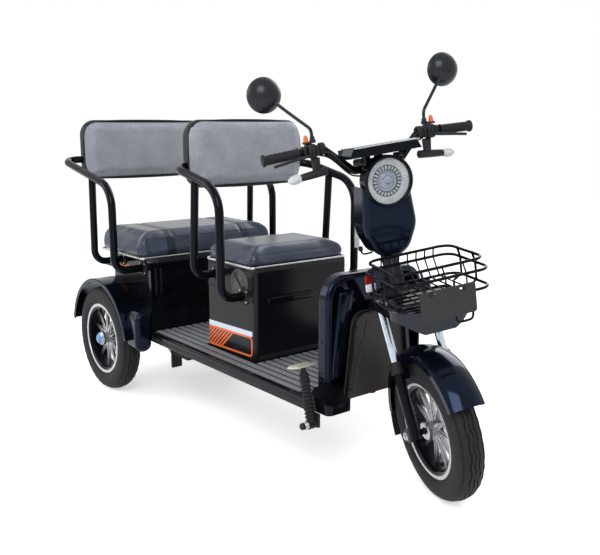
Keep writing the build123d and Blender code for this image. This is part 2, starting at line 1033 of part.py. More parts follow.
with BuildPart() as front_apron:
    apron_x = ahead(floor_front)
    with BuildSketch(cross_plane(apron_x)):
        apron_outline(0)
    extrude(amount=apron_wall + apron_lip)
    with BuildSketch(cross_plane(apron_x + apron_wall)):
        apron_outline(apron_lip_width)
        with Locations((0, apron_bottom)):
            Rectangle(2 * (apron_foot_half_width - apron_lip_width), 2 * apron_lip_width)
    extrude(amount=apron_lip, mode=Mode.SUBTRACT)
front_apron.part.label = "front_apron"
export_step(front_apron.part, "parts/front_apron.step")

with BuildPart() as brake_pedal:
    pedal_y = -(floor_half_width + pedal_outset)
    boot_foot = Vector(ahead(pedal_x), pedal_y, pedal_pivot_z)
    boot_axis = Vector(-sin(radians(pedal_lean)), 0, cos(radians(pedal_lean)))
    boot_plane = Plane(origin=boot_foot, x_dir=(0, 1, 0), z_dir=boot_axis)
    with BuildSketch(boot_plane):
        Circle(boot_radius - boot_ring_depth)
    extrude(amount=pedal_height - pad_size[2])
    ring_pitch = (pedal_height - 3 * pad_size[2]) / boot_rings
    for ring in range(boot_rings):
        with BuildSketch(boot_plane.offset(ring * ring_pitch)):
            Circle(boot_radius)
        extrude(amount=ring_pitch * boot_ring_share)
    with BuildSketch(boot_plane.offset(pedal_height - pad_size[2])):
        RectangleRounded(pad_size[1], pad_size[0], pad_size[2])
    extrude(amount=pad_size[2])
    lug_end = -floor_half_width + pedal_lug[1] / 2
    across(ahead(pedal_x), pedal_pivot_z, pedal_pivot_radius, (pedal_y - pedal_pivot_reach, lug_end))
    block(
        (ahead(pedal_x) - pedal_lug[0] / 2, ahead(pedal_x) + pedal_lug[0] / 2),
        (lug_end - pedal_lug[1], lug_end),
        (pedal_pivot_z - pedal_lug[2], floor_low + corner_block_lift),
    )
brake_pedal.part.label = "brake_pedal"
export_step(brake_pedal.part, "parts/brake_pedal.step")


# ---- Steering stem with the fork crown and the bar clamp

with BuildPart() as steering_stem:
    with BuildSketch(head_plane(crown_low)):
        Circle(stem_radius)
    extrude(amount=stem_top - crown_low)
    with BuildSketch(head_plane(crown_low)):
        Circle(stem_radius + crown_collar)
        with Locations((fork_lead, 0)):
            SlotOverall(2 * (fork_spread + leg_radius), 2 * leg_radius, rotation=90)
    extrude(amount=crown_thickness)
    crown_front = on_axis(crown_low + crown_thickness / 2)
    block(
        (crown_front.X + fork_lead, ahead(tray_back)),
        (-tray_arm_half_width, tray_arm_half_width),
        (crown_front.Z, crown_front.Z + tray_arm_thickness),
    )
    block(
        (on_axis(stem_top).X - stem_radius, ahead(bar_x) + clamp_size[0] / 3),
        (-clamp_size[1] / 2, clamp_size[1] / 2),
        (bar_low - clamp_size[2] / 2, bar_low + clamp_size[2] / 2),
    )
    for side in (-1, 1):
        block(
            (ahead(bar_x) - riser_back, ahead(bar_x) + riser_front),
            sorted((side * riser_inner, side * riser_outer)),
            (bar_low, dash_low - dash_slope * (dash_reach + riser_back)),
        )
    block(
        (ahead(bar_x), ahead(lamp_face) - lamp_shell_depth - seat_gap),
        (-lamp_arm_half_width, lamp_arm_half_width),
        (lamp_height_front - lamp_arm_drop, bar_low),
    )
    across(
        ahead(bar_x),
        bar_low,
        bar_radius + grip_gap,
        (-clamp_size[1], clamp_size[1]),
        Mode.SUBTRACT,
    )
steering_stem_parked = turned(steering_stem.part)
steering_stem_parked.label = "steering_stem"
export_step(steering_stem_parked, "parts/steering_stem.step")

with BuildPart() as fork_stanchions:
    with BuildSketch(head_plane(leg_top)):
        with Locations((fork_lead, -fork_spread), (fork_lead, fork_spread)):
            Circle(stanchion_radius)
    extrude(amount=crown_low - leg_top)
fork_stanchions_parked = turned(fork_stanchions.part)
fork_stanchions_parked.label = "fork_stanchions"
export_step(fork_stanchions_parked, "parts/fork_stanchions.step")

with BuildPart() as fork_legs:
    with BuildSketch(head_plane(leg_bottom)):
        with Locations((fork_lead, -fork_spread), (fork_lead, fork_spread)):
            Circle(leg_radius)
    extrude(amount=leg_top - leg_bottom)
    with BuildSketch(head_plane(leg_top - collar_height)):
        with Locations((fork_lead, -fork_spread), (fork_lead, fork_spread)):
            Circle(collar_radius)
    extrude(amount=collar_height)
    axle_end = fork_spread + axle_end_reach
    across(front_x, front_wheel_z, front_axle_radius, (-axle_end, axle_end))
    for side in (-1, 1):
        across(
            front_x,
            front_wheel_z,
            axle_lug_radius,
            sorted((side * (fork_spread - leg_radius + cut_margin), side * (fork_spread + leg_radius))),
        )
fork_legs_parked = turned(fork_legs.part)
fork_legs_parked.label = "fork_legs"
export_step(fork_legs_parked, "parts/fork_legs.step")


# ---- Front fender: an eccentric arc over the wheel, narrower behind

with BuildPart() as front_fender:
    arc_x = front_x + front_fender_shift_x
    arc_z = front_wheel_z + front_fender_shift_z
    tip_plane = Plane(
        origin=(arc_x, 0, arc_z),
        x_dir=(cos(radians(front_fender_tip_angle)), 0, sin(radians(front_fender_tip_angle))),
        z_dir=(-sin(radians(front_fender_tip_angle)), 0, cos(radians(front_fender_tip_angle))),
    )
    outer = front_fender_radius
    inner = front_fender_radius - front_fender_wall
    half = front_fender_half_width
    shoulder = outer - front_fender_camber
    lip = shoulder - front_fender_lip
    inner_shoulder = inner - front_fender_camber
    inner_half = half - front_fender_wall
    with BuildSketch(tip_plane):
        with BuildLine():
            crown = ThreePointArc((shoulder, -half), (outer, 0), (shoulder, half))
            Polyline(crown @ 1, (lip, half), (lip, inner_half), (inner_shoulder, inner_half))
            ThreePointArc((inner_shoulder, inner_half), (inner, 0), (inner_shoulder, -inner_half))
            Polyline((inner_shoulder, -inner_half), (lip, -inner_half), (lip, -half), crown @ 0)
        make_face()
    revolve(
        axis=Axis((arc_x, 0, arc_z), (0, -1, 0)),
        revolution_arc=front_fender_tail_angle - front_fender_tip_angle,
    )
    lug_middle = (inner_half + lug_outer) / 2
    with BuildSketch(head_plane(lug_low)):
        with Locations((fork_lead, -lug_middle), (fork_lead, lug_middle)):
            Rectangle(lug_width, lug_outer - inner_half)
    extrude(amount=lug_high - lug_low)
front_fender_parked = turned(front_fender.part)
front_fender_parked.label = "front_fender"
export_step(front_fender_parked, "parts/front_fender.step")


# ---- Handlebar, grips, housings with levers, turn signals, mirrors

bar_points = [
    (ahead(bar_end_x), -bar_half_length, bar_end_z),
    (ahead(bar_x), -bar_rise_end, bar_high),
    (ahead(bar_x), -bar_rise_start, bar_low),
    (ahead(bar_x), bar_rise_start, bar_low),
    (ahead(bar_x), bar_rise_end, bar_high),
    (ahead(bar_end_x), bar_half_length, bar_end_z),
]

with BuildPart() as handlebar:
    rod(bar_points, bar_bend, bar_radius)
handlebar_parked = turned(handlebar.part)
handlebar_parked.label = "handlebar"
export_step(handlebar_parked, "parts/handlebar.step")


def bar_height_at(place):
    """The height of the bar's middle line, this far out on its straight end."""
    drop = (bar_high - bar_end_z) / (bar_half_length - bar_rise_end)
    return bar_high - (place - bar_rise_end) * drop


def bar_side_plane(side, from_end):
    """A plane across the bar, this far in from its end, facing inwards."""
    end = Vector(*bar_points[0 if side < 0 else -1])
    knee = Vector(*bar_points[1 if side < 0 else -2])
    inward = (knee - end).normalized()
    return Plane(origin=end + inward * from_end, x_dir=(1, 0, 0), z_dir=inward)


with BuildPart() as grips:
    for side in (-1, 1):
        with BuildSketch(bar_side_plane(side, -grip_cap)):
            Circle(grip_radius)
        extrude(amount=grip_length)
        with BuildSketch(bar_side_plane(side, 0)):
            Circle(bar_radius + grip_gap)
        extrude(amount=grip_length, mode=Mode.SUBTRACT)
grips_parked = turned(grips.part)
grips_parked.label = "grips"
export_step(grips_parked, "parts/grips.step")

with BuildPart() as bar_controls:
    for side in (-1, 1):
        housing_from_end = bar_half_length - housing_place - housing_size[1] / 2
        with BuildSketch(bar_side_plane(side, housing_from_end)):
            RectangleRounded(housing_size[0], housing_size[2], housing_round)
        extrude(amount=housing_size[1])
        lever_start = Vector(ahead(bar_x) + lever_ahead, side * housing_place, bar_high - lever_below)
        lever_turn = lever_start + Vector(lever_knee[0], side * lever_knee[1], -lever_knee[2])
        lever_reach = side * (lever_length - lever_knee[1])
        lever_tip = lever_turn + Vector(-lever_tip_back, lever_reach, -lever_drop)
        lever_back = lever_start + Vector(-lever_root, 0, 0)
        rod([lever_back, lever_start, lever_turn, lever_tip], lever_bend, lever_radius)
        with BuildSketch(bar_side_plane(side, housing_from_end - cut_margin)):
            Circle(bar_radius + grip_gap)
        extrude(amount=housing_size[1] + 2 * cut_margin, mode=Mode.SUBTRACT)
bar_controls_parked = turned(bar_controls.part)
bar_controls_parked.label = "bar_controls"
export_step(bar_controls_parked, "parts/bar_controls.step")

def signal_section(side, place, radius):
    """A round section of a turn signal, which hangs lower the further out it is."""
    with BuildSketch(side_plane.offset(-side * place)) as section:
        with Locations((ahead(bar_x), turn_height - (place - turn_inner) * turn_slope)):
            Circle(radius)
    return section.sketch


with BuildPart() as turn_signals:
    for side in (-1, 1):
        signal_root = signal_section(side, turn_inner, turn_body_radius)
        lens_root = signal_section(side, turn_outer, turn_body_radius * turn_body_share)
        lens_bulge = signal_section(side, lens_bulge_place, lens_bulge_radius)
        lens_tip = signal_section(side, turn_tip, lens_tip_radius)
        loft([signal_root, lens_root])
        loft([lens_root, lens_bulge])
        loft([lens_bulge, lens_tip])
        stem_end = turn_stem_place + turn_stem_half
        block(
            (ahead(bar_x) - turn_stem_thickness / 2, ahead(bar_x) + turn_stem_thickness / 2),
            sorted((side * (turn_stem_place - turn_stem_half), side * stem_end)),
            (
                turn_height - (stem_end - turn_inner) * turn_slope,
                bar_height_at(stem_end) - housing_size[2] / 2 - seat_gap,
            ),
        )
turn_signals_parked = turned(turn_signals.part)
turn_signals_parked.label = "turn_signals"
export_step(turn_signals_parked, "parts/turn_signals.step")

with BuildPart() as mirrors:
    for side in (-1, 1):
        stem_x = ahead(bar_x) - mirror_stem_setback
        stem_z = bar_height_at(turn_stem_place) + housing_size[2] / 2 + seat_gap
        stem_foot = (stem_x, side * turn_stem_place, stem_z)
        stem_knee = (stem_x, side * turn_stem_place, bar_high + mirror_stem_knee)
        shell_centre = (ahead(mirror_x), side * mirror_place, mirror_height)
        rod([stem_foot, stem_knee, shell_centre], mirror_stem_bend, mirror_stem_radius)
        glass_x = ahead(mirror_x) - mirror_glass_setback
        shell_plane = Plane(
            origin=(glass_x, side * mirror_place, mirror_height),
            x_dir=(1, 0, 0),
            z_dir=(0, -1, 0),
        )
        with BuildSketch(shell_plane):
            with BuildLine():
                rim_line = Polyline((0, 0), (0, mirror_radius), (mirror_rim, mirror_radius))
                dome = ThreePointArc(
                    rim_line @ 1,
                    (
                        mirror_rim + (mirror_depth - mirror_rim) * mirror_dome_share,
                        mirror_radius * (1 - mirror_dome_share / 2),
                    ),
                    (mirror_depth, 0),
                )
                Line(dome @ 1, rim_line @ 0)
            make_face()
        revolve(axis=Axis((glass_x, side * mirror_place, mirror_height), (1, 0, 0)))
mirrors_parked = turned(mirrors.part)
mirrors_parked.label = "mirrors"
export_step(mirrors_parked, "parts/mirrors.step")

with BuildPart() as dash:
    step_length = dash_reach - dash_bar_gap
    step_drop = step_length * dash_slope
    backwards = Vector(-1, 0, -dash_slope).normalized()
    slant = Vector(1, 0, dash_slope).length
    with BuildSketch(cross_plane(ahead(dash_front))):
        with BuildLine():
            Polyline(
                (-dash_half_width, dash_low),
                (dash_half_width, dash_low),
                (dash_top_half_width, dash_high),
                (-dash_top_half_width, dash_high),
                close=True,
            )
        make_face()
    extrude(amount=step_length * slant, dir=backwards)
    with BuildSketch(cross_plane(ahead(dash_front) - step_length)):
        with Locations((0, (dash_low + dash_high) / 2 - step_drop)):
            Rectangle(2 * dash_back_half_width, dash_high - dash_low)
    extrude(amount=(dash_length - step_length) * slant, dir=backwards)
dash_parked = turned(dash.part)
dash_parked.label = "dash"
export_step(dash_parked, "parts/dash.step")


# ---- Headlamp, its lens, and the cowl round them

with BuildPart() as headlamp_shell:
    with BuildSketch(cross_plane(ahead(lamp_face) - lamp_shell_depth)):
        with Locations((0, lamp_height_front)):
            Circle(lamp_shell_radius)
    extrude(amount=lamp_shell_depth)
    fillet(headlamp_shell.faces().sort_by(Axis.X)[0].edges(), lamp_back_round)
    with BuildSketch(cross_plane(ahead(lamp_face) - lamp_shell_depth * lamp_bowl_share)):
        with Locations((0, lamp_height_front)):
            Circle(lamp_shell_radius - lamp_bezel)
    extrude(amount=lamp_shell_depth * lamp_bowl_share, mode=Mode.SUBTRACT)
headlamp_shell_parked = turned(headlamp_shell.part)
headlamp_shell_parked.label = "headlamp_shell"
export_step(headlamp_shell_parked, "parts/headlamp_shell.step")

with BuildPart() as headlamp_lens:
    lens_radius = lamp_shell_radius - lamp_bezel - lens_gap
    with BuildSketch(cross_plane(ahead(lamp_face) - lens_thickness)):
        with Locations((0, lamp_height_front)):
            Circle(lens_radius)
    extrude(amount=lens_thickness)
    fillet(headlamp_lens.faces().sort_by(Axis.X)[-1].edges(), lens_round)
headlamp_lens_parked = turned(headlamp_lens.part)
headlamp_lens_parked.label = "headlamp_lens"
export_step(headlamp_lens_parked, "parts/headlamp_lens.step")


def cowl_outline(inset):
    """The tongue-shaped outline of the cowl, drawn in from its real edge by the inset."""
    half = cowl_half_width - inset
    low = cowl_bottom + inset
    high = cowl_top - inset
    with BuildLine() as edge:
        FilletPolyline(
            (0, low),
            (half * cowl_chin_share, low),
            (half, low + cowl_cheek),
            (half * cowl_top_share, high),
            (0, high),
            radius=(cowl_chin_bend - inset, cowl_cheek_bend - inset, cowl_top_bend - inset),
        )
        mirror(about=Plane.YZ)
    make_face(edge.edges())


with BuildPart() as head_cowl:
    with BuildSketch(cross_plane(ahead(cowl_back))):
        cowl_outline(0)
    extrude(amount=cowl_front - cowl_back)
    fillet(head_cowl.faces().sort_by(Axis.X)[-1].edges(), cowl_round)
    with BuildSketch(cross_plane(ahead(cowl_back))):
        cowl_outline(cowl_wall)
    extrude(amount=cowl_front - cowl_back - cowl_front_wall, mode=Mode.SUBTRACT)
    with BuildSketch(cross_plane(ahead(cowl_back))):
        with Locations((0, lamp_height_front)):
            Circle(lamp_shell_radius + lens_gap)
    extrude(amount=cowl_front - cowl_back, mode=Mode.SUBTRACT)
    with BuildSketch(head_plane(head_tube_low)):
        Circle(head_tube_radius + cowl_stem_gap)
    extrude(amount=stem_top - head_tube_low, mode=Mode.SUBTRACT)
head_cowl_parked = turned(head_cowl.part)
head_cowl_parked.label = "head_cowl"
export_step(head_cowl_parked, "parts/head_cowl.step")


# ---- Front carrier of wire, the tray under it, and a blank plate

def wire_ring(back, front, half_width, height, radius):
    """A closed rounded rectangle of wire, lying level."""
    middle = (ahead(back) + ahead(front)) / 2
    for end in (ahead(back), ahead(front)):
        rod(
            [
                (middle, -half_width, height),
                (end, -half_width, height),
                (end, half_width, height),
                (middle, half_width, height),
            ],
            carrier_bend,
            radius,
        )


with BuildPart() as front_carrier:
    low_back = carrier_back + 2 * ring_setback
    high_back = carrier_back + ring_setback / 2
    high_front = carrier_front - ring_setback
    high_half_width = carrier_half_width - ring_setback / 2
    stay_y = tray_half_width - ring_setback / 2
    wire_ring(low_back, carrier_front, carrier_half_width, ring_low, wire_radius)
    wire_ring(carrier_back, carrier_front, carrier_half_width, ring_mid, wire_radius)
    wire_ring(high_back, high_front, high_half_width, ring_high, wire_radius)
    for side in (-1, 1):
        for stay_x in (carrier_back + 4 * ring_setback, tray_front - 2 * ring_setback):
            rod(
                [
                    (ahead(stay_x), side * stay_y, tray_top + seat_gap),
                    (ahead(stay_x), side * stay_y, ring_low - ring_setback),
                    (ahead(stay_x), side * carrier_half_width, ring_low),
                    (ahead(stay_x), side * carrier_half_width, ring_mid),
                    (ahead(stay_x), side * (high_half_width - cut_margin), ring_high + wire_radius),
                ],
                wire_bend,
                stay_wire_radius,
            )
    for step in range(basket_wires):
        wire_y = (step - (basket_wires - 1) / 2) * basket_wire_pitch
        rod(
            [
                (ahead(carrier_front), wire_y, ring_low),
                (ahead(low_back), wire_y, ring_low),
                (ahead(carrier_back), wire_y, ring_mid),
                (ahead(high_back), wire_y, ring_high),
            ],
            [basket_bend, basket_bend],
            thin_wire_radius,
        )
    for wire_y in (-front_stay_spread, 0, front_stay_spread):
        rod(
            [
                (ahead(high_front), wire_y, ring_high),
                (ahead(carrier_front), wire_y, ring_mid),
                (ahead(carrier_front), wire_y, ring_low),
            ],
            wire_bend,
            thin_wire_radius,
        )
front_carrier_parked = turned(front_carrier.part)
front_carrier_parked.label = "front_carrier"
export_step(front_carrier_parked, "parts/front_carrier.step")

with BuildPart() as nose_tray:
    with BuildSketch(cross_plane(ahead(tray_back))):
        with BuildLine():
            Polyline(
                (-tray_half_width, tray_top),
                (-tray_half_width, tray_side),
                (-tray_keel_half_width, tray_low),
                (tray_keel_half_width, tray_low),
                (tray_half_width, tray_side),
                (tray_half_width, tray_top),
                close=True,
            )
        make_face()
    extrude(amount=tray_front - tray_back)
    with BuildSketch(Plane.XY.offset(tray_low)) as tray_plan:
        with Locations((ahead((tray_back + tray_front) / 2), 0)):
            Rectangle(tray_front - tray_back, 2 * tray_half_width)
        fillet(tray_plan.vertices().group_by(Axis.X)[-1], tray_corner)
    extrude(amount=tray_top - tray_low, mode=Mode.INTERSECT)
    fillet(nose_tray.faces().sort_by(Axis.Z)[-1].edges().sort_by(Axis.X)[1:], tray_round)
nose_tray_parked = turned(nose_tray.part)
nose_tray_parked.label = "nose_tray"
export_step(nose_tray_parked, "parts/nose_tray.step")

with BuildPart() as number_plate:
    plate_x = ahead(carrier_front) + wire_radius + seat_gap
    with BuildSketch(cross_plane(plate_x)):
        with Locations((0, plate_bottom + plate_height / 2)):
            RectangleRounded(plate_width, plate_height, plate_corner)
        slot_z = plate_bottom + plate_height - plate_slot_drop
        with Locations((-plate_width / 4, slot_z), (plate_width / 4, slot_z)):
            SlotOverall(plate_slot[0], plate_slot[1], mode=Mode.SUBTRACT)
    extrude(amount=plate_thickness)
number_plate_parked = turned(number_plate.part)
number_plate_parked.label = "number_plate"
export_step(number_plate_parked, "parts/number_plate.step")
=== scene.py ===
import json
import math
import bmesh
import bpy
from mathutils import Matrix, Vector


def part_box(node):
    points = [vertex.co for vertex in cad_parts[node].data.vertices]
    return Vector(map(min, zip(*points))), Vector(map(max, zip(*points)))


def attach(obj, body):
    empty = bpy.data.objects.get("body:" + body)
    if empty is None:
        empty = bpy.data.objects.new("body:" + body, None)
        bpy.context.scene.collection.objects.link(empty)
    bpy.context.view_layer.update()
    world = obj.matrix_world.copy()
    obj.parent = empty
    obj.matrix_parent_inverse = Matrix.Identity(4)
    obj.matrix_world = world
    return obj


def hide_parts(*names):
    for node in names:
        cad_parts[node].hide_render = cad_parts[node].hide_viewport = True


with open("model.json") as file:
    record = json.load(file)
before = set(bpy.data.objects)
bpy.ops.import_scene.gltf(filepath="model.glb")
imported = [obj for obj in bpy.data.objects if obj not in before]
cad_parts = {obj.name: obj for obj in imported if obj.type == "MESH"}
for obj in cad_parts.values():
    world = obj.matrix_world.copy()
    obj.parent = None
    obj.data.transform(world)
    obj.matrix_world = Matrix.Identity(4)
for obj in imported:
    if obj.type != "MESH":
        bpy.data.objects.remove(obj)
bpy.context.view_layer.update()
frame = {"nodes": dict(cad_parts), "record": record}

# A small electric tricycle with two seats in a row, dressed round its solid model.
# Metres, +X the way it drives, +Y its left side, +Z up, floor at z = 0.

MM = 0.001
AHEAD, ACROSS, UP = Vector((1, 0, 0)), Vector((0, 1, 0)), Vector((0, 0, 1))
SIDES = ((-1, "right"), (1, "left"))
record = frame["record"]
joints = {joint["name"]: joint for joint in record["behaviour"]["joints"]}
LEFT_WHEEL = Vector(joints["rear_wheel_left_roll"]["pos_m"])
RIGHT_WHEEL = Vector(joints["rear_wheel_right_roll"]["pos_m"])
WHEEL = Vector(joints["front_wheel_roll"]["pos_m"])
STEERING_AXIS = Vector(joints["steering_turn"]["axis"])
PARKED_TURN = math.radians(-21.6)
PARKED = (
    Matrix.Translation(WHEEL) @ Matrix.Rotation(PARKED_TURN, 4, STEERING_AXIS) @ Matrix.Translation(-WHEEL)
)


# ---- Small helpers -------------------------------------------------------------------

def hex_colour(code):
    """An sRGB hex value as the linear colour a shader takes."""
    channels = [int(code[i:i + 2], 16) / 255 for i in (1, 3, 5)]
    linear = [c / 12.92 if c <= 0.04045 else ((c + 0.055) / 1.055) ** 2.4 for c in channels]
    return (*linear, 1.0)


def add_node(material, kind, links=None, **settings):
    """Adds a shader node. Settings name its properties or sockets, links name what feeds it:
    another node's socket, or a number or colour that the node's own socket keeps."""
    node = material.node_tree.nodes.new(kind)
    for key, value in settings.items():
        if hasattr(node, key):
            setattr(node, key, value)
        else:
            node.inputs[key.replace("_", " ")].default_value = value
    for key, source in (links or {}).items():
        socket = node.inputs[key] if isinstance(key, int) else node.inputs[key.replace("_", " ")]
        if isinstance(source, bpy.types.NodeSocket):
            material.node_tree.links.new(source, socket)
        else:
            socket.default_value = source
    return node


def new_material(name, **surface):
    """A material with only its surface shader, whose constants are set on its own sockets."""
    material = bpy.data.materials.new(name)
    material.use_nodes = True
    shader = material.node_tree.nodes["Principled BSDF"]
    for key, value in surface.items():
        shader.inputs[key.replace("_", " ")].default_value = value
    return material, shader


def at(ahead, left, up):
    """A place in metres from millimetres ahead of the rear axle, to the left and above the floor."""
    return Vector((LEFT_WHEEL.x + ahead * MM, left * MM, up * MM))


def line_at(places, side=1):
    """The same for a line of places. Side -1 puts them on the right."""
    return [at(ahead, side * left, up) for ahead, left, up in places]


def spanned(half):
    """A line from the right side to the left one: its right half, then the same half mirrored."""
    return line_at(half) + line_at(reversed(half), -1)


def mirrored_loop(half):
    """A turned piece's closed outline that is the same on both sides of its middle."""
    return half + [(radius, -along) for radius, along in reversed(half)] + half[:1]


# ---- Modelling by hand ---------------------------------------------------------------

def clear_selection():
    if bpy.context.mode != "OBJECT":
        bpy.ops.object.mode_set(mode="OBJECT")
    bpy.ops.object.select_all(action="DESELECT")


def choose(piece):
    """Makes a piece the only one selected, and the active one."""
    clear_selection()
    piece.select_set(True)
    bpy.context.view_layer.objects.active = piece


def edit_whole(piece):
    """Goes into edit mode with all of a piece selected."""
    choose(piece)
    bpy.ops.object.mode_set(mode="EDIT")
    bpy.ops.mesh.select_all(action="SELECT")


def leave_edit():
    bpy.ops.object.mode_set(mode="OBJECT")


def select_part(piece, kind, wanted):
    """Goes into edit mode with only the faces or edges chosen that pass the test: a face by its
    centre and normal, an edge by its two ends."""
    choose(piece)
    bpy.ops.object.mode_set(mode="EDIT")
    bpy.ops.mesh.select_mode(type=kind)
    bpy.ops.mesh.select_all(action="DESELECT")
    mesh = bmesh.from_edit_mesh(piece.data)
    if kind == "FACE":
        for face in mesh.faces:
            face.select_set(wanted(face.calc_center_median(), face.normal))
    else:
        for edge in mesh.edges:
            edge.select_set(wanted(edge.verts[0].co, edge.verts[1].co))
    bmesh.update_edit_mesh(piece.data)


def turn_outwards(merge):
    """Ends an edit: merges what coincides, if asked, and points every face outwards."""
    bpy.ops.mesh.select_all(action="SELECT")
    if merge:
        bpy.ops.mesh.remove_doubles(threshold=0.02 * MM)
    bpy.ops.mesh.normals_make_consistent(inside=False)
    leave_edit()


def apply_modifier(piece, kind, **settings):
    """Gives a piece a modifier with these settings and applies it."""
    choose(piece)
    modifier = piece.modifiers.new(kind.lower(), kind)
    for key, value in settings.items():
        setattr(modifier, key, value)
    bpy.ops.object.modifier_apply(modifier=modifier.name)


def slab(name, low, high, round_by=0.0, segments=2):
    """A block between two corners, with its edges rounded."""
    clear_selection()
    low, high = Vector(low), Vector(high)
    bpy.ops.mesh.primitive_cube_add(size=1, location=(low + high) / 2, scale=high - low)
    piece = bpy.context.object
    piece.name = name
    bpy.ops.object.transform_apply(location=True, rotation=True, scale=True)
    if round_by:
        edit_whole(piece)
        bpy.ops.mesh.bevel(offset=round_by, segments=segments, affect="EDGES", clamp_overlap=True)
        leave_edit()
    return piece


def drawn_line(name, points):
    """A line of edges, drawn by extruding one vertex from point to point."""
    clear_selection()
    points = [Vector(point) for point in points]
    bpy.ops.mesh.primitive_plane_add(size=0.01, location=points[0])
    piece = bpy.context.object
    piece.name = name
    bpy.ops.object.transform_apply(location=True, rotation=True, scale=True)
    bpy.ops.object.mode_set(mode="EDIT")
    bpy.ops.mesh.select_mode(type="VERT")
    bpy.ops.mesh.select_all(action="SELECT")
    bpy.ops.mesh.merge(type="CENTER")
    for start, end in zip(points, points[1:]):
        bpy.ops.mesh.extrude_vertices_move(TRANSFORM_OT_translate={"value": end - start})
    leave_edit()
    return piece


def turned_piece(name, outline, centre, axis, out, steps=48):
    """A turned piece: the outline gives (distance from the axis, place along it) in mm."""
    axis, out = Vector(axis).normalized(), Vector(out).normalized()
    piece = drawn_line(name, [centre + out * (r * MM) + axis * (a * MM) for r, a in outline])
    edit_whole(piece)
    bpy.ops.mesh.spin(steps=steps, angle=2 * math.pi, center=centre, axis=axis)
    turn_outwards(True)
    return piece


def cut_from_sheet(name, outline, depth):
    """A flat piece: a closed outline, filled and extruded by the depth vector."""
    piece = drawn_line(name, outline)
    edit_whole(piece)
    bpy.ops.mesh.edge_face_add()
    bpy.ops.mesh.extrude_region_move(TRANSFORM_OT_translate={"value": Vector(depth)})
    turn_outwards(False)
    return piece


def bent_rod(name, points, radius, closed=False, sides=3):
    """A round bar or wire that follows the points in a smooth line, with closed ends."""
    clear_selection()
    bpy.ops.curve.primitive_nurbs_path_add(location=(0, 0, 0))
    piece = bpy.context.object
    piece.name = name
    curve = piece.data
    curve.splines.clear()
    line = curve.splines.new("NURBS")
    line.points.add(len(points) - 1)
    for knot, point in zip(line.points, points):
        knot.co = (*point, 1.0)
    line.order_u = 3
    line.use_cyclic_u = closed
    line.use_endpoint_u = not closed
    line.resolution_u = 6
    curve.bevel_depth = radius
    curve.bevel_resolution = sides
    curve.use_fill_caps = not closed
    bpy.ops.object.convert(target="MESH")
    piece = bpy.context.object
    bpy.ops.object.mode_set(mode="EDIT")
    turn_outwards(True)
    return piece


def copy_of(piece, name, move):
    """A copy with its own mesh, moved by a matrix."""
    other = piece.copy()
    other.data = piece.data.copy()
    other.name = name
    bpy.context.scene.collection.objects.link(other)
    other.data.transform(move)
    return other


def joined(name, pieces):
    """Joins pieces into the first of them."""
    choose(pieces[0])
    for piece in pieces:
        piece.select_set(True)
    bpy.ops.object.join()
    pieces[0].name = name
    return pieces[0]


def cut_away(piece, cutter):
    """Takes the cutter's shape out of the piece and deletes the cutter."""
    apply_modifier(piece, "BOOLEAN", object=cutter, operation="DIFFERENCE")
    bpy.data.objects.remove(cutter)


def press_in(piece, border, depth):
    """Lets a field into a piece's front face, inside a border of this width in mm."""
    select_part(piece, "FACE", lambda centre, normal: normal.x > 0.9)
    bpy.ops.mesh.inset(thickness=border * MM, depth=0)
    bpy.ops.mesh.extrude_region_move(TRANSFORM_OT_translate={"value": (-depth * MM, 0, 0)})
    leave_edit()


def finish_piece(piece, finish, body, smooth=35):
    """Gives a piece its finish, smooth shading and the body it rides on. What rides on the
    steering is modelled with the bar straight, and is turned here to where it parks."""
    choose(piece)
    bpy.ops.object.transform_apply(location=True, rotation=True, scale=True)
    if body in ("steering", "front_wheel"):
        piece.data.transform(PARKED)
    bpy.ops.object.shade_smooth_by_angle(angle=math.radians(smooth))
    if not piece.data.materials:
        piece.data.materials.append(finish)
    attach(piece, body)
    # A number follows the finish's name where a CAD material has the same one.
    return piece


# ---- Finishes ------------------------------------------------------------------------

def clouded(name, shades, stops, cloud, grain, relief, **surface):
    """A material whose colour clouds between two shades under a fine relief. Cloud and grain
    give a noise's size in mm and its detail, relief its strength and depth in mm. With no
    shades its colour is one, among the surface's constants."""
    material, shader = new_material(name, **surface)
    place = add_node(material, "ShaderNodeTexCoord").outputs["Object"]
    if shades:
        size, detail = cloud
        scale = 1 / (size * MM)
        tones = add_node(material, "ShaderNodeTexNoise", {"Vector": place}, Scale=scale, Detail=detail)
        shade = add_node(material, "ShaderNodeValToRGB", {"Fac": tones.outputs["Fac"]})
        for stop, position, colour in zip(shade.color_ramp.elements, stops, shades):
            stop.position = position
            stop.color = hex_colour(colour)
        material.node_tree.links.new(shade.outputs["Color"], shader.inputs["Base Color"])
    size, detail = grain
    scale = 1 / (size * MM)
    ground = add_node(material, "ShaderNodeTexNoise", {"Vector": place}, Scale=scale, Detail=detail)
    height = {"Height": ground.outputs["Fac"]}
    bump = add_node(material, "ShaderNodeBump", height, Strength=relief[0], Distance=relief[1] * MM)
    material.node_tree.links.new(bump.outputs["Normal"], shader.inputs["Normal"])
    return material


def bodywork_enamel(name, shades, sky_reflection_tint, gloss_level):
    """Injection-moulded ABS under dark enamel: a near-black ground whose gloss is tinted, a
    painted reflection of the sky, with a faint orange peel of 6 mm."""
    # The tint colours the gloss: a painted reflection of a blue sky.
    gloss = {"Specular_IOR_Level": gloss_level, "Specular_Tint": hex_colour(sky_reflection_tint)}
    surface = {"Roughness": 0.12, "IOR": 1.5, **gloss}
    return clouded(name, shades, (0.35, 0.7), (60, 3.0), (6, 1.0), (0.03, 0.2), **surface)


def moulded_plastic(name, shades, roughness, grain_mm):
    """Injection-moulded plastic or rubber with a spark-eroded grain of this size."""
    grain = (grain_mm, 3.0)
    surface = {"Roughness": roughness, "IOR": 1.49, "Specular_IOR_Level": 0.25}
    return clouded(name, shades, (0.35, 0.7), grain, grain, (0.25, 0.3), **surface)


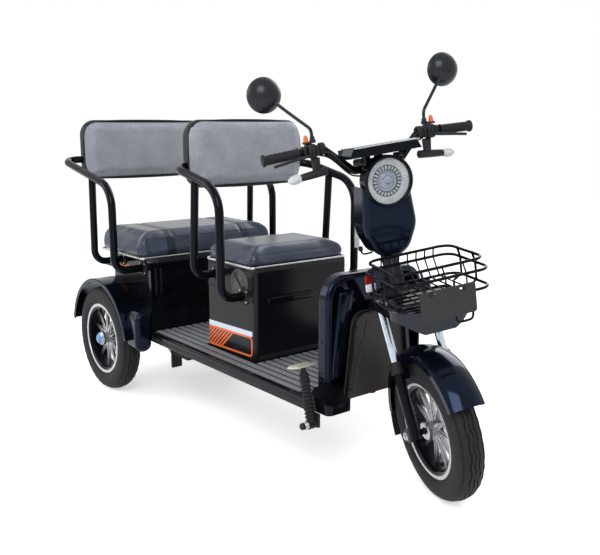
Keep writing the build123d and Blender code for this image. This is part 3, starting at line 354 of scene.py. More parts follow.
def metal(name, shades, roughness, grain_mm):
    """Bare or plated metal, with a faint cloudiness of its surface."""
    grain = (grain_mm, 4.0)
    return clouded(name, shades, (0.3, 0.7), grain, grain, (0.08, 0.1), Metallic=1.0, Roughness=roughness)


def leatherette(name, shades, roughness):
    """PVC leatherette with a pressed pebble grain, drawn at 3 mm so that it shows, and a
    cloudy variation over a hand's width. Its gloss is tinted pale blue, a painted reflection of the sky."""
    material, shader = new_material(
        name,
        Roughness=roughness,
        IOR=1.46,
        Specular_IOR_Level=0.6,
        Specular_Tint=hex_colour("#c3cfea"),
        Sheen_Weight=0.08,
        Sheen_Roughness=0.4,
    )
    place = add_node(material, "ShaderNodeTexCoord").outputs["Object"]
    pebble = add_node(material, "ShaderNodeTexVoronoi", {"Vector": place}, Scale=1 / (3 * MM))
    height = pebble.outputs["Distance"]
    cloud = add_node(material, "ShaderNodeTexNoise", {"Vector": place}, Scale=1 / (70 * MM), Detail=8.0)
    mixed = {0: cloud.outputs["Fac"], 1: height, 2: 0.3}
    blend = add_node(material, "ShaderNodeMath", mixed, operation="MULTIPLY_ADD")
    shade = add_node(material, "ShaderNodeValToRGB", {"Fac": blend.outputs["Value"]})
    for stop, position, colour in zip(shade.color_ramp.elements, (0.3, 0.75), shades):
        stop.position = position
        stop.color = hex_colour(colour)
    bump = add_node(material, "ShaderNodeBump", {"Height": height}, Strength=0.35, Distance=0.3 * MM)
    material.node_tree.links.new(shade.outputs["Color"], shader.inputs["Base Color"])
    material.node_tree.links.new(bump.outputs["Normal"], shader.inputs["Normal"])
    return material


def box_graphics(low, high):
    """The seat box's own enamel with its printed side stripes: a white band over an orange
    hatch and an orange frame with a rounded corner, all without words. low and high are the
    corners of the printed field, seen from the side."""
    material, shader = new_material("box_graphics", Roughness=0.2, IOR=1.5, Specular_IOR_Level=0.16)
    place = add_node(material, "ShaderNodeTexCoord").outputs["Object"]
    along = add_node(material, "ShaderNodeSeparateXYZ", {"Vector": place})
    top = high[1] - 17 * MM
    split = low[0] + (high[0] - low[0]) * 0.31
    half_x, half_z = (high[0] - low[0]) / 2, (top - low[1]) / 2
    value = {"x": along.outputs["X"], "z": along.outputs["Z"]}
    # Each row names a value and says how it comes from two others, or from another and a number.
    for name, operation, first, second in (
        # The stripes rise towards the front, as the print does, by 8 mm over the box's side.
        ("run", "SUBTRACT", "x", low[0]),
        ("rise", "MULTIPLY", "run", 0.03),
        ("level", "SUBTRACT", "z", "rise"),
        ("past_back", "GREATER_THAN", "x", low[0]),
        ("short_of_front", "LESS_THAN", "x", high[0]),
        ("over_foot", "GREATER_THAN", "level", low[1]),
        ("under_head", "LESS_THAN", "level", high[1]),
        ("in_length", "MULTIPLY", "past_back", "short_of_front"),
        ("in_height", "MULTIPLY", "over_foot", "under_head"),
        ("field", "MULTIPLY", "in_length", "in_height"),
        ("over_band", "GREATER_THAN", "level", top),
        ("white", "MULTIPLY", "field", "over_band"),
        ("under_band", "LESS_THAN", "level", top),
        ("orange_field", "MULTIPLY", "field", "under_band"),
        # The hatch leans back, one bar each 18 mm.
        ("climb", "SUBTRACT", "level", low[1]),
        ("slant", "MULTIPLY", "climb", -1.2),
        ("lean", "ADD", "x", "slant"),
        ("hatch_side", "LESS_THAN", "lean", split),
        ("bars", "DIVIDE", "lean", 18 * MM),
        ("in_bar", "FRACT", "bars", 0.0),
        ("bar", "GREATER_THAN", "in_bar", 0.42),
        ("hatch", "MULTIPLY", "bar", "hatch_side"),
        # The frame: what lies 9 to 16 mm out from a box that is 16 mm inside the field.
        ("from_middle", "SUBTRACT", "x", (low[0] + high[0]) / 2),
        ("off_middle", "ABSOLUTE", "from_middle", 0.0),
        ("beyond", "SUBTRACT", "off_middle", half_x - 16 * MM),
        ("out_along", "MAXIMUM", "beyond", 0.0),
        ("from_centre", "SUBTRACT", "level", (low[1] + top) / 2),
        ("off_centre", "ABSOLUTE", "from_centre", 0.0),
        ("above", "SUBTRACT", "off_centre", half_z - 16 * MM),
        ("out_up", "MAXIMUM", "above", 0.0),
        ("square_along", "MULTIPLY", "out_along", "out_along"),
        ("square_up", "MULTIPLY", "out_up", "out_up"),
        ("square", "ADD", "square_along", "square_up"),
        ("away", "SQRT", "square", 0.0),
        ("past_inner", "GREATER_THAN", "away", 9 * MM),
        ("short_of_outer", "LESS_THAN", "away", 16 * MM),
        ("frame_line", "MULTIPLY", "past_inner", "short_of_outer"),
        ("drawn", "MAXIMUM", "hatch", "frame_line"),
        ("orange", "MULTIPLY", "drawn", "orange_field"),
    ):
        fed = {0: value.get(first, first), 1: value.get(second, second)}
        value[name] = add_node(material, "ShaderNodeMath", fed, operation=operation).outputs["Value"]

    wear = add_node(material, "ShaderNodeTexNoise", {"Vector": place}, Scale=1 / (12 * MM), Detail=3.0)
    shades = add_node(material, "ShaderNodeValToRGB", {"Fac": wear.outputs["Fac"]})
    shades.color_ramp.elements[0].color = hex_colour("#d2562a")
    shades.color_ramp.elements[1].color = hex_colour("#ea7a46")
    on_enamel = {0: value["orange"], 6: hex_colour("#0c0e12"), 7: shades.outputs["Color"]}
    orange_print = add_node(material, "ShaderNodeMix", on_enamel, data_type="RGBA")
    over_orange = {0: value["white"], 6: orange_print.outputs[2], 7: hex_colour("#cfdbe8")}
    white_print = add_node(material, "ShaderNodeMix", over_orange, data_type="RGBA")
    material.node_tree.links.new(white_print.outputs[2], shader.inputs["Base Color"])
    return material


# Enamels: the bodywork's gloss is tinted blue, the tray's and the boxes' greyer and duller: painted reflections
# of the sky.
enamel = bodywork_enamel("bodywork_enamel", ("#05070d", "#080c16"), "#93acdf", 0.36)
tray_enamel = bodywork_enamel("tray_enamel", ("#0c0d11", "#14161b"), "#c3cbdc", 0.6)
box_enamel = bodywork_enamel("box_enamel", ("#07080a", "#0f1115"), "#b4c0d2", 0.24)
# Mild-steel tube, powder coated in gloss black: a soft sheen with 3 mm flow marks, its gloss tinted pale blue
# as a painted reflection of the sky.
black_tube = clouded(
    "tube_enamel", ("#060709", "#0d0f12"), (0, 1), (3, 2.0), (3, 2.0), (0.12, 0.2),
    Roughness=0.14, IOR=1.5, Specular_IOR_Level=0.16, Specular_Tint=hex_colour("#b9c7e2"),
)
# Welded box section under satin black chassis paint, a little dusty in the open.
black_steel = clouded(
    "chassis_paint", ("#121316", "#2b2a29"), (0.4, 1), (40, 6.0), (1.5, 2.0), (0.2, 0.2),
    Roughness=0.5, IOR=1.5, Specular_IOR_Level=0.2,
)
# Leatherette: slate seats; back faces painted pale grey, painted sunlight on black leatherette; and black for
# the piping and for bands of painted shadow.
seat_leatherette = leatherette("seat_leatherette", ("#232831", "#3b4250"), 0.28)
painted_sunlight_leatherette = leatherette("painted_sunlight_leatherette", ("#7b7e85", "#9da0a7"), 0.45)
piping_and_shadow_leatherette = leatherette("piping_and_shadow_leatherette", ("#0c0e12", "#191c22"), 0.4)
# Rubbers: matt road tyres, a scuffed grey floor mat, and fine-grained grips.
tyre_rubber = moulded_plastic("tyre_rubber", ("#121315", "#232427"), 0.7, 5)
mat_rubber = moulded_plastic("mat_rubber", ("#63666b", "#85888d"), 0.6, 4)
grip_rubber = moulded_plastic("grip_rubber", ("#101113", "#1c1e21"), 0.6, 1.5)
# Black and grey plastics, from grained housings to the polished face of the dash.
grained_plastic = moulded_plastic("grained_plastic", ("#111214", "#1f2124"), 0.5, 1.2)
plate_plastic = moulded_plastic("plate_plastic", ("#27282a", "#2e2f31"), 0.5, 1.5)
# The apron's warm grey is a painted reflection of the ground on its black plastic.
apron_reflection_plastic = moulded_plastic("apron_reflection_plastic", ("#2c2a29", "#3d3a38"), 0.45, 4)
recess_plastic = moulded_plastic("recess_plastic", ("#3c3b3a", "#504f4d"), 0.4, 6)
mirror_plastic = moulded_plastic("mirror_plastic", ("#14171c", "#1e232a"), 0.28, 6)
dash_gloss = moulded_plastic("dash_gloss", ("#0b0c0e", "#121316"), 0.08, 20)
cap_blue = moulded_plastic("cap_blue", ("#4f86bd", "#77a6d2"), 0.3, 5)
# Lamps and reflectors: acrylic, coloured or metallised, smooth enough to catch a highlight.
white_reflector = moulded_plastic("white_reflector", ("#b9bcc0", "#dcdee0"), 0.25, 5)
lamp_amber = moulded_plastic("lamp_amber", ("#c8500c", "#e06a1c"), 0.3, 6)
lamp_red = moulded_plastic("lamp_red", ("#6d0508", "#93090c"), 0.15, 6)
lamp_silver = moulded_plastic("lamp_silver", ("#a9aeb3", "#c3c7cb"), 0.2, 25)
lamp_core = moulded_plastic("lamp_core", ("#7f8998", "#a9b2c0"), 0.12, 25)
signal_orange = moulded_plastic("signal_orange", ("#c8602c", "#dc7a42"), 0.35, 4)
signal_clear = moulded_plastic("signal_clear", ("#b4babd", "#d6dadb"), 0.15, 7)
# Metals: bright chrome tinted blue-grey, a painted reflection of the sky, turned and cast aluminium, and
# zinc-plated tread steel.
plated_chrome = metal("plated_chrome", ("#b3bfcc", "#d3dbe4"), 0.14, 30)
turned_aluminium = metal("turned_aluminium", ("#a6a8ab", "#c4c6c8"), 0.3, 6)
cast_aluminium = metal("cast_aluminium", ("#7d7f82", "#9a9c9f"), 0.5, 3)
tread_steel = metal("tread_steel", ("#a8a99a", "#cfcfc2"), 0.42, 5)
# Silvered glass: a near-perfect mirror with the faintest waviness.
mirror_silver = clouded(
    "mirror_silver", None, None, None, (40, 1.0), (0.02, 0.2),
    Base_Color=hex_colour("#e4e7ea"), Metallic=1.0, Roughness=0.03,
)
# Clear polycarbonate: sharp reflections, and what lies behind it shows through.
lamp_glass = clouded(
    "lamp_glass", None, None, None, (25, 2.0), (0.02, 0.2),
    Base_Color=hex_colour("#aab0b6"), Roughness=0.03, IOR=1.58, Alpha=0.1,
)

slot_finish = {
    "tyre_rubber": tyre_rubber,
    "wheel_black": black_tube,
    "frame_black": black_steel,
    "body_blue_black": enamel,
    "tube_black": black_tube,
    "leatherette": seat_leatherette,
    "mat_rubber": mat_rubber,
    "grip_rubber": grip_rubber,
    "chrome": plated_chrome,
    "cast_alloy": cast_aluminium,
    "lens_clear": lamp_glass,
    "lens_red": lamp_red,
    "plate_blank": plate_plastic,
}
# The boards, the trim, the turn signals and the mirrors' shells are all grained plastic.
for subpart in record["subparts"]:
    node = frame["nodes"][subpart["node"]]
    node.data.materials.clear()
    node.data.materials.append(slot_finish.get(subpart["material_slot"], grained_plastic))

box_low, box_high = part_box("front_seat_box")
for name, finish in (
    ("front_seat_box", box_graphics((box_low.x + 3 * MM, 0.284), (box_high.x - 20 * MM, 0.369))),
    ("front_apron", apron_reflection_plastic),
    ("rear_seat_box", box_enamel),
    ("floor_pan", box_enamel),
    ("nose_tray", tray_enamel),
):
    frame["nodes"][name].data.materials[0] = finish


# ---- Cushions and backrests ----------------------------------------------------------

def stuffed_shell(name, low, high, edge, swell, held, keep_in, smoothing):
    """A padded shell: a rounded block a little smaller than the cushion, remeshed, blown up
    as cloth with its held side pinned, and kept within the cushion's own size."""
    shell = slab(name, low, high, edge, 3)
    apply_modifier(shell, "REMESH", mode="VOXEL", voxel_size=6 * MM)
    before = [vertex.co.copy() for vertex in shell.data.vertices]
    pins = shell.vertex_groups.new(name="held")
    pins.add([i for i, place in enumerate(before) if held(place)], 1.0, "REPLACE")
    cloth = shell.modifiers.new("stuffing", "CLOTH")
    settings = cloth.settings
    settings.quality = 5
    settings.mass = 0.3
    settings.use_pressure = True
    settings.uniform_pressure_force = 4
    settings.tension_stiffness = 12
    settings.compression_stiffness = 12
    settings.vertex_group_mass = "held"
    settings.effector_weights.gravity = 0
    for frame_number in range(1, 21):
        bpy.context.scene.frame_set(frame_number)
    choose(shell)
    bpy.ops.object.modifier_apply(modifier=cloth.name)
    bpy.context.scene.frame_set(1)
    limit_low, limit_high = keep_in
    for vertex, start in zip(shell.data.vertices, before):
        moved = vertex.co - start
        if moved.length > swell:
            moved *= swell / moved.length
        place = start + moved
        vertex.co = [min(max(place[i], limit_low[i]), limit_high[i]) for i in range(3)]
    edit_whole(shell)
    bpy.ops.mesh.vertices_smooth(factor=0.5, repeat=smoothing)
    leave_edit()
    return shell


def press_seam(shell, away, depth, width):
    """Presses a sewn seam into a shell: away gives each point's distance from the stitching."""
    for vertex in shell.data.vertices:
        distance = away(vertex.co)
        if distance < 3 * width:
            vertex.co -= vertex.normal * depth * math.exp(-((distance / width) ** 2))


def finish_cushion(shell, node, body):
    """Rounds a padded shell, covers it and puts it in its solid's place."""
    apply_modifier(shell, "SUBSURF", levels=1, render_levels=1)
    finish_piece(shell, seat_leatherette, body, 180)
    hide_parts(node)


SHADOW_BAND_START = 148 * MM
SHADOW_BAND_END = 182 * MM
CHANNEL_HALF_WIDTH = 14.5 * MM


def seat_cushion(node, body, sewn_channel):
    """A seat cushion: crowned on top, its sides drawn in to a stitched line under the round
    of its edge, and a bright trim strip round its foot."""
    low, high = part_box(node)
    proud = 8 * MM
    limit_low = Vector((low.x - proud, low.y - proud, low.z))
    limit_high = Vector((high.x + proud, high.y + proud, high.z + 3 * MM))
    shell = stuffed_shell(
        node + "_cover",
        low,
        (high.x, high.y, high.z - 8 * MM),
        28 * MM,
        14 * MM,
        lambda place: place.z < low.z + 12 * MM,
        (limit_low, limit_high),
        14,
    )
    seam = high.z - 26 * MM
    press_seam(shell, lambda place: abs(place.z - seam), 1.6 * MM, 2.2 * MM)
    if sewn_channel:
        for line in (-SHADOW_BAND_START, SHADOW_BAND_START):
            press_seam(
                shell,
                lambda place: abs(place.y - line) if place.z > seam else 1.0,
                3 * MM,
                5 * MM,
            )
        # Two dark bands of painted shadow run over the cushion beside the stitching.
        shell.data.materials.append(seat_leatherette)
        shell.data.materials.append(piping_and_shadow_leatherette)
        for face in shell.data.polygons:
            face.material_index = 1 if SHADOW_BAND_START < abs(face.center.y) < SHADOW_BAND_END else 0
    finish_cushion(shell, node, body)
    trim_z = low.z + 4 * MM
    inset = 4 * MM
    corner = 30 * MM
    left, right = low.y + inset, high.y - inset
    back, front = low.x + inset, high.x - inset
    trim = bent_rod(
        node + "_trim",
        [
            (back + corner, left, trim_z), (front - corner, left, trim_z), (front, left, trim_z),
            (front, left + corner, trim_z), (front, right - corner, trim_z), (front, right, trim_z),
            (front - corner, right, trim_z), (back + corner, right, trim_z), (back, right, trim_z),
            (back, right - corner, trim_z), (back, left + corner, trim_z), (back, left, trim_z),
        ],
        2.6 * MM,
        closed=True,
    )
    for vertex in trim.data.vertices:
        vertex.co.z = trim_z + (vertex.co.z - trim_z) * 1.6
    finish_piece(trim, turned_aluminium, body, 60)


def back_cushion(node, bar_height):
    """A backrest: a padded face, painted light grey as if sunlit, with piping round it, and a
    moulded board behind with the channel and the clamps that take the armrest's bar."""
    solid_low, solid_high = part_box(node)
    low = solid_low - Vector((0, 8 * MM, 7 * MM))
    high = solid_high + Vector((0, 8 * MM, 1 * MM))
    seat_x = high.x - 26 * MM
    cover = stuffed_shell(
        node + "_cover",
        (seat_x - 6 * MM, low.y + 3 * MM, low.z + 3 * MM),
        (high.x - 8 * MM, high.y - 3 * MM, high.z - 3 * MM),
        12 * MM,
        10 * MM,
        lambda place: place.x < seat_x,
        (low, high),
        8,
    )
    # The corners are rounded over, seen from the front.
    corner = 62 * MM
    mid_y, mid_z = (low.y + high.y) / 2, (low.z + high.z) / 2
    half_y, half_z = (high.y - low.y) / 2 - corner, (high.z - low.z) / 2 - corner
    for vertex in cover.data.vertices:
        y, z = vertex.co.y, vertex.co.z
        off_y, off_z = abs(y - mid_y) - half_y, abs(z - mid_z) - half_z
        if off_y > 0 and off_z > 0:
            away = math.hypot(off_y, off_z)
            reach = max(off_y, off_z)
            if away > 1e-6:
                vertex.co.y = mid_y + math.copysign(half_y + off_y / away * reach, y - mid_y)
                vertex.co.z = mid_z + math.copysign(half_z + off_z / away * reach, z - mid_z)
    # The face is painted pale grey: painted sunlight on black leatherette.
    cover.data.materials.append(painted_sunlight_leatherette)
    finish_cushion(cover, node, "frame")

    inset, cut, x = 2.5 * MM, corner * 0.3, seat_x + 1 * MM
    left, right = low.y + inset, high.y - inset
    foot, top = low.z + inset, high.z - inset
    loop = [
        (x, left + corner, foot), (x, right - corner, foot), (x, right - cut, foot + cut),
        (x, right, foot + corner), (x, right, top - corner), (x, right - cut, top - cut),
        (x, right - corner, top), (x, left + corner, top), (x, left + cut, top - cut),
        (x, left, top - corner), (x, left, foot + corner), (x, left + cut, foot + cut),
    ]
    piping = bent_rod(node + "_piping", loop, 3 * MM, closed=True)
    finish_piece(piping, piping_and_shadow_leatherette, "frame", 60)

    inset = 2 * MM
    edge = rounded_loop(low.y + inset, high.y - inset, low.z + inset, high.z - inset, 60 * MM)
    board = cut_from_sheet(node + "_board", [(low.x, y, z) for y, z in edge], (seat_x - low.x, 0, 0))
    apply_modifier(board, "BEVEL", width=5 * MM, segments=2, limit_method="ANGLE")
    channel_low = (low.x - 0.02, low.y - 0.02, bar_height - CHANNEL_HALF_WIDTH)
    channel_high = (low.x + 0.05, high.y + 0.02, bar_height + CHANNEL_HALF_WIDTH)
    cut_away(board, slab("channel", channel_low, channel_high))
    finish_piece(board, grained_plastic, "frame", 30)
    for side, word in SIDES:
        for lift, level in ((-1, "low"), (1, "high")):
            y, z = side * 0.12, bar_height + lift * 0.024
            clamp = slab(
                f"{node}_clamp_{word}_{level}",
                (low.x - 2 * MM, y - 0.018, z - 0.009),
                (low.x + 4 * MM, y + 0.018, z + 0.009),
                2 * MM,
            )
            finish_piece(clamp, black_steel, "frame")


def rounded_loop(left, right, foot, top, corner, steps=8):
    """The corners of a rounded rectangle, as (across, up) places in order."""
    loop = []
    for centre_y, centre_z, start in (
        (right - corner, foot + corner, -90),
        (right - corner, top - corner, 0),
        (left + corner, top - corner, 90),
        (left + corner, foot + corner, 180),
    ):
        for step in range(steps + 1):
            turn = math.radians(start + 90 * step / steps)
            loop.append((centre_y + corner * math.cos(turn), centre_z + corner * math.sin(turn)))
    return loop


ARM_TOP_REAR = 884 * MM
ARM_TOP_FRONT = 886 * MM
seat_cushion("front_cushion", "front_seat", False)
seat_cushion("rear_cushion", "rear_seat", True)
back_cushion("front_backrest", ARM_TOP_FRONT)
back_cushion("rear_backrest", ARM_TOP_REAR)


# ---- Wheels --------------------------------------------------------------------------

def tyre(name, centre, body, node):
    """A rounded road tyre: three wavy grooves round its tread, a stepped shoulder and a
    moulded line round each wall."""
    outline = mirrored_loop([
        (128.3, -29.5), (134, -31), (138, -33.5), (141, -36), (143, -35.2), (146, -37.2), (158, -39.2),
        (167, -39.8), (176, -38.8), (184, -36.2), (188, -35.6), (190.5, -33.2), (193, -31.2), (191, -29.6),
        (196.5, -25.5), (199.2, -19), (200.6, -14.5), (197.4, -13), (197.4, -11), (201.6, -9.5), (202.8, -3),
        (199.4, -1.4),
    ])
    piece = turned_piece(name, outline, centre, ACROSS, AHEAD, 144)
    for vertex in piece.data.vertices:
        out = vertex.co - centre
        radius = math.hypot(out.x, out.z) / MM
        turn = math.atan2(out.z, out.x)
        place = out.y / MM
        if radius > 195 and abs(place) < 16:
            vertex.co.y += 2.2 * MM * math.sin(24 * turn + (0 if abs(place) < 3 else 1.6))
        elif 188 < radius < 198 and abs(place) > 24:
            step = math.sin(36 * turn + (0.9 if place > 0 else 0))
            if step > 0.35:
                vertex.co.x -= out.x / radius * 1.6
                vertex.co.z -= out.z / radius * 1.6
    finish_piece(piece, tyre_rubber, body, 32)
    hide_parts(node)


SPOKE_START = 0.020
SPOKE_END = 0.1185
SPOKE_PAIRS = 11


def wheel(name, centre, body, node, cap_side):
    """A cast wheel: a black barrel with bright lips, pairs of thin machined spokes and a
    small hub, with its cap on the outer side of a rear wheel."""
    barrel = turned_piece(
        name + "_barrel",
        [
            (136.5, -33), (136.5, -30.4), (131, -29), (127.6, -26), (127.6, 26), (131, 29), (136.5, 30.4),
            (136.5, 33), (128, 33), (121, 31), (117, 27), (115.5, 20), (115.5, -20), (117, -27), (121, -31),
            (128, -33), (136.5, -33),
        ],
        centre, ACROSS, AHEAD, 96,
    )
    finish_piece(barrel, black_tube, body, 30)
    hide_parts(node)
    for side, word in SIDES:
        lip = turned_piece(
            name + "_lip_" + word,
            [
                (136.2, side * 31.5), (136.6, side * 33.4), (133.5, side * 34.4), (130, side * 34),
                (126.5, side * 33.3), (125.8, side * 32), (130, side * 32.2), (136.2, side * 31.5),
            ],
            centre, ACROSS, AHEAD, 96,
        )
        finish_piece(lip, turned_aluminium, body, 40)
    hub = turned_piece(
        name + "_hub",
        mirrored_loop([(11, -38), (23, -38), (26, -35), (26, -24), (20.5, -17)]),
        centre, ACROSS, AHEAD, 48,
    )
    finish_piece(hub, turned_aluminium, body, 35)
    first = slab(name + "_spoke_1", (SPOKE_START, -6 * MM, -2.6 * MM), (SPOKE_END, 6 * MM, 2.6 * MM))
    edit_whole(first)
    bpy.ops.mesh.subdivide(number_cuts=3)
    leave_edit()
    for vertex in first.data.vertices:
        share = (vertex.co.x - SPOKE_START) / (SPOKE_END - SPOKE_START)
        vertex.co.z *= 1.25 - 0.55 * math.sin(math.pi * min(max(share, 0), 1))
        vertex.co.y *= 1.0 - 0.25 * share
    # Only the edges that run along the spoke at its corners are rounded.
    select_part(
        first,
        "EDGE",
        lambda start, end: abs(abs(start.y) - abs(end.y)) < 2 * MM
        and abs(start.x - end.x) > 5 * MM
        and abs(start.z) > 1 * MM
        and abs(start.y) > 3 * MM,
    )
    bpy.ops.mesh.bevel(offset=0.8 * MM, segments=2, affect="EDGES", clamp_overlap=True)
    leave_edit()
    spokes = []
    for pair in range(SPOKE_PAIRS):
        for shift in (-1, 1):
            turn = Matrix.Rotation(math.radians(360 / SPOKE_PAIRS * pair), 4, "Y")
            lean = Matrix.Rotation(math.radians(shift * 1.5), 4, "Y")
            place = Matrix.Translation(centre) @ turn @ Matrix.Translation((0, 0, shift * 7 * MM)) @ lean
            spokes.append(copy_of(first, name + "_spoke", place))
    bpy.data.objects.remove(first)
    finish_piece(joined(name + "_spokes", spokes), turned_aluminium, body, 35)
    if cap_side:
        cap = turned_piece(
            name + "_cap",
            [
                (0, cap_side * 52), (9, cap_side * 51.4), (15, cap_side * 49.5), (19, cap_side * 46),
                (21, cap_side * 41), (21, cap_side * 38.1), (0, cap_side * 38.1),
            ],
            centre, ACROSS, AHEAD, 40,
        )
        finish_piece(cap, cap_blue, body, 30)
        ring = turned_piece(
            name + "_cap_ring",
            [
                (20.6, cap_side * 38), (23.6, cap_side * 38), (23.6, cap_side * 41), (21.2, cap_side * 42.5),
                (20.6, cap_side * 38),
            ],
            centre, ACROSS, AHEAD, 40,
        )
        finish_piece(ring, plated_chrome, body, 30)
    valve = bent_rod(
        name + "_valve",
        [centre + Vector(place) for place in ((0.117, 0.012, 0), (0.108, 0.016, 0), (0.096, 0.026, 0))],
        3.2 * MM,
    )
    finish_piece(valve, grip_rubber, body, 50)


for word, centre, body, end, cap_side in (
    ("front", WHEEL, "front_wheel", "", 0),
    ("left", LEFT_WHEEL, "rear_wheel_left", "_left", 1),
    ("right", RIGHT_WHEEL, "rear_wheel_right", "_right", -1),
):
    place = "rear" if cap_side else "front"
    tyre(word + "_road_tyre", centre, body, f"{place}_tyre{end}")
    wheel(word + "_alloy", centre, body, f"{place}_rim{end}", cap_side)


# ---- Headlamp, cowl and dash ---------------------------------------------------------

LAMP = at(1284, 0, 875)


def headlamp():
    """A black bezel, a ribbed pale ring, a toothed ring and a domed projector in the middle,
    all behind the clear lens."""
    bezel = turned_piece(
        "headlamp_bezel",
        [
            (63.2, -7), (63.6, 1.6), (65.6, 3.6), (68.4, 3.4), (70.6, 0.8), (71.2, -4), (71.2, -12),
            (68, -12), (63.2, -7),
        ],
        LAMP, AHEAD, UP, 96,
    )
    finish_piece(bezel, black_tube, "steering")
    dish = turned_piece(
        "headlamp_dish",
        [
            (0, -34), (0, -33), (29, -33), (29.5, -25), (43.5, -21), (44, -13.5), (46, -12), (50, -11.6),
            (54, -10.6), (58, -9.8), (61.5, -8.8), (62.4, -8.8), (62.4, -34), (0, -34),
        ],
        LAMP, AHEAD, UP, 192,
    )
    for vertex in dish.data.vertices:
        out = vertex.co - LAMP
        if 0.045 < math.hypot(out.y, out.z) < 0.0605 and out.x > -0.0125:
            vertex.co.x += 0.9 * MM * math.cos(48 * math.atan2(out.z, out.y))
    finish_piece(dish, lamp_silver, "steering", 40)
    ring = turned_piece(
        "headlamp_inner_ring",
        [(29.2, -24.6), (29.2, -17.5), (31, -16.5), (42.8, -16.5), (43.8, -18), (43.8, -20.6), (29.2, -24.6)],
        LAMP, AHEAD, UP, 72,
    )
    finish_piece(ring, grained_plastic, "steering", 40)
    tooth = slab("tooth", (-16.6 * MM, 32 * MM, -2.3 * MM), (-11.5 * MM, 41.4 * MM, 2.3 * MM), 0.9 * MM, 1)
    teeth = []
    for step in range(24):
        turn = Matrix.Rotation(math.radians(15 * step), 4, "X")
        teeth.append(copy_of(tooth, "headlamp_tooth", Matrix.Translation(LAMP) @ turn))
    bpy.data.objects.remove(tooth)
    finish_piece(joined("headlamp_teeth", teeth), lamp_silver, "steering", 40)
    projector = turned_piece(
        "headlamp_projector",
        [
            (0, -10.2), (7, -10.6), (13, -12), (18.5, -14.6), (22, -17.6), (23.5, -20.5), (24.2, -21),
            (25.4, -17.8), (28.4, -16.6), (28.9, -18), (28.9, -32.6), (0, -32.6),
        ],
        LAMP, AHEAD, UP, 64,
    )
    finish_piece(projector, lamp_core, "steering", 30)
    arcs = []
    for radius, start, end in ((8, 200, 340), (14.5, 20, 160)):
        back = -9.6 * MM - (radius / 60) ** 2 * 0.06
        points = []
        for step in range(9):
            turn = math.radians(start + (end - start) * step / 8)
            points.append(LAMP + Vector((back, radius * MM * math.cos(turn), radius * MM * math.sin(turn))))
        arcs.append(bent_rod("headlamp_arc", points, 1.1 * MM))
    finish_piece(joined("headlamp_arcs", arcs), grained_plastic, "steering", 60)


def cowl_trim():
    """The bag hook under the cowl, bent from wire, with the knob on its tip."""
    hook = bent_rod(
        "bag_hook",
        line_at([
            (1200, -40, 668), (1214, -56, 672), (1232, -76, 676), (1242, -86, 684), (1243, -90, 692),
            (1240, -88, 697),
        ]),
        2.8 * MM,
    )
    finish_piece(hook, black_steel, "steering", 60)
    knob = turned_piece(
        "bag_hook_knob",
        [(0, -6), (5, -5), (7, 0), (6.4, 6), (3, 9), (0, 9)],
        at(1240, -88, 694), UP, AHEAD, 20,
    )
    finish_piece(knob, grip_rubber, "steering")


def dash_trim():
    """A gloss screen let into the top of the dash, with a bright strip round its front."""
    screen = cut_from_sheet(
        "dash_screen",
        spanned([(1281, -90.5, 977.1), (1212, -78.5, 970.2), (1145, -76, 963.5)]),
        (0, 0, 2.2 * MM),
    )
    apply_modifier(screen, "BEVEL", width=1 * MM, segments=2, limit_method="ANGLE")
    finish_piece(screen, dash_gloss, "steering", 30)
    strip = bent_rod("dash_strip", spanned([(1283.4, -93, 976.6), (1283.4, -40, 977)]), 2.2 * MM)
    finish_piece(strip, turned_aluminium, "steering", 60)
    face = cut_from_sheet("dash_face", spanned([(1283, -101, 954), (1283, -90, 974)]), (1.2 * MM, 0, 0))
    press_in(face, 3, 0.9)
    finish_piece(face, black_tube, "steering", 30)
    for side, word in SIDES:
        lug = slab("dash_lug_" + word, at(1210, side * 60 - 9, 936), at(1246, side * 60 + 9, 947.5), 3 * MM)
        for vertex in lug.data.vertices:
            vertex.co.z += (vertex.co.x - at(1283, 0, 0).x) * 0.1
        finish_piece(lug, grained_plastic, "steering")


headlamp()
cowl_trim()
dash_trim()


# ---- Grips, controls, turn signals and mirrors ---------------------------------------

def bar_line(side):
    """The end of the bar on one side, and the directions inwards along it and ahead of it."""
    end = at(1182, side * 315, 974)
    inwards = (at(1190, side * 146, 982) - end).normalized()
    return end, inwards, (AHEAD - inwards * AHEAD.dot(inwards)).normalized()


def bar_grips():
    """Moulded grips with square ribs, a flange at each end and a closed cap."""
    outline = [(0, 0.3), (0, -3), (14, -3), (16.4, -2.2), (17, 0), (16, 4), (14.4, 7), (13.2, 8.4)]
    for rib in range(12):
        start = 10 + 7 * rib
        outline += [(12.8, start), (13.7, start + 0.8), (13.7, start + 4.4), (12.8, start + 5.2)]
    outline += [(13.2, 95), (14.8, 96.2), (15.2, 98.5), (14.8, 101), (11.3, 101), (11.3, 0.3), (0, 0.3)]
    sides = []
    for side in (-1, 1):
        sides.append(turned_piece("grip", outline, *bar_line(side), 40))
    grips = joined("ribbed_grips", sides)
    finish_piece(grips, grip_rubber, "steering", 30)
    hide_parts("grips")


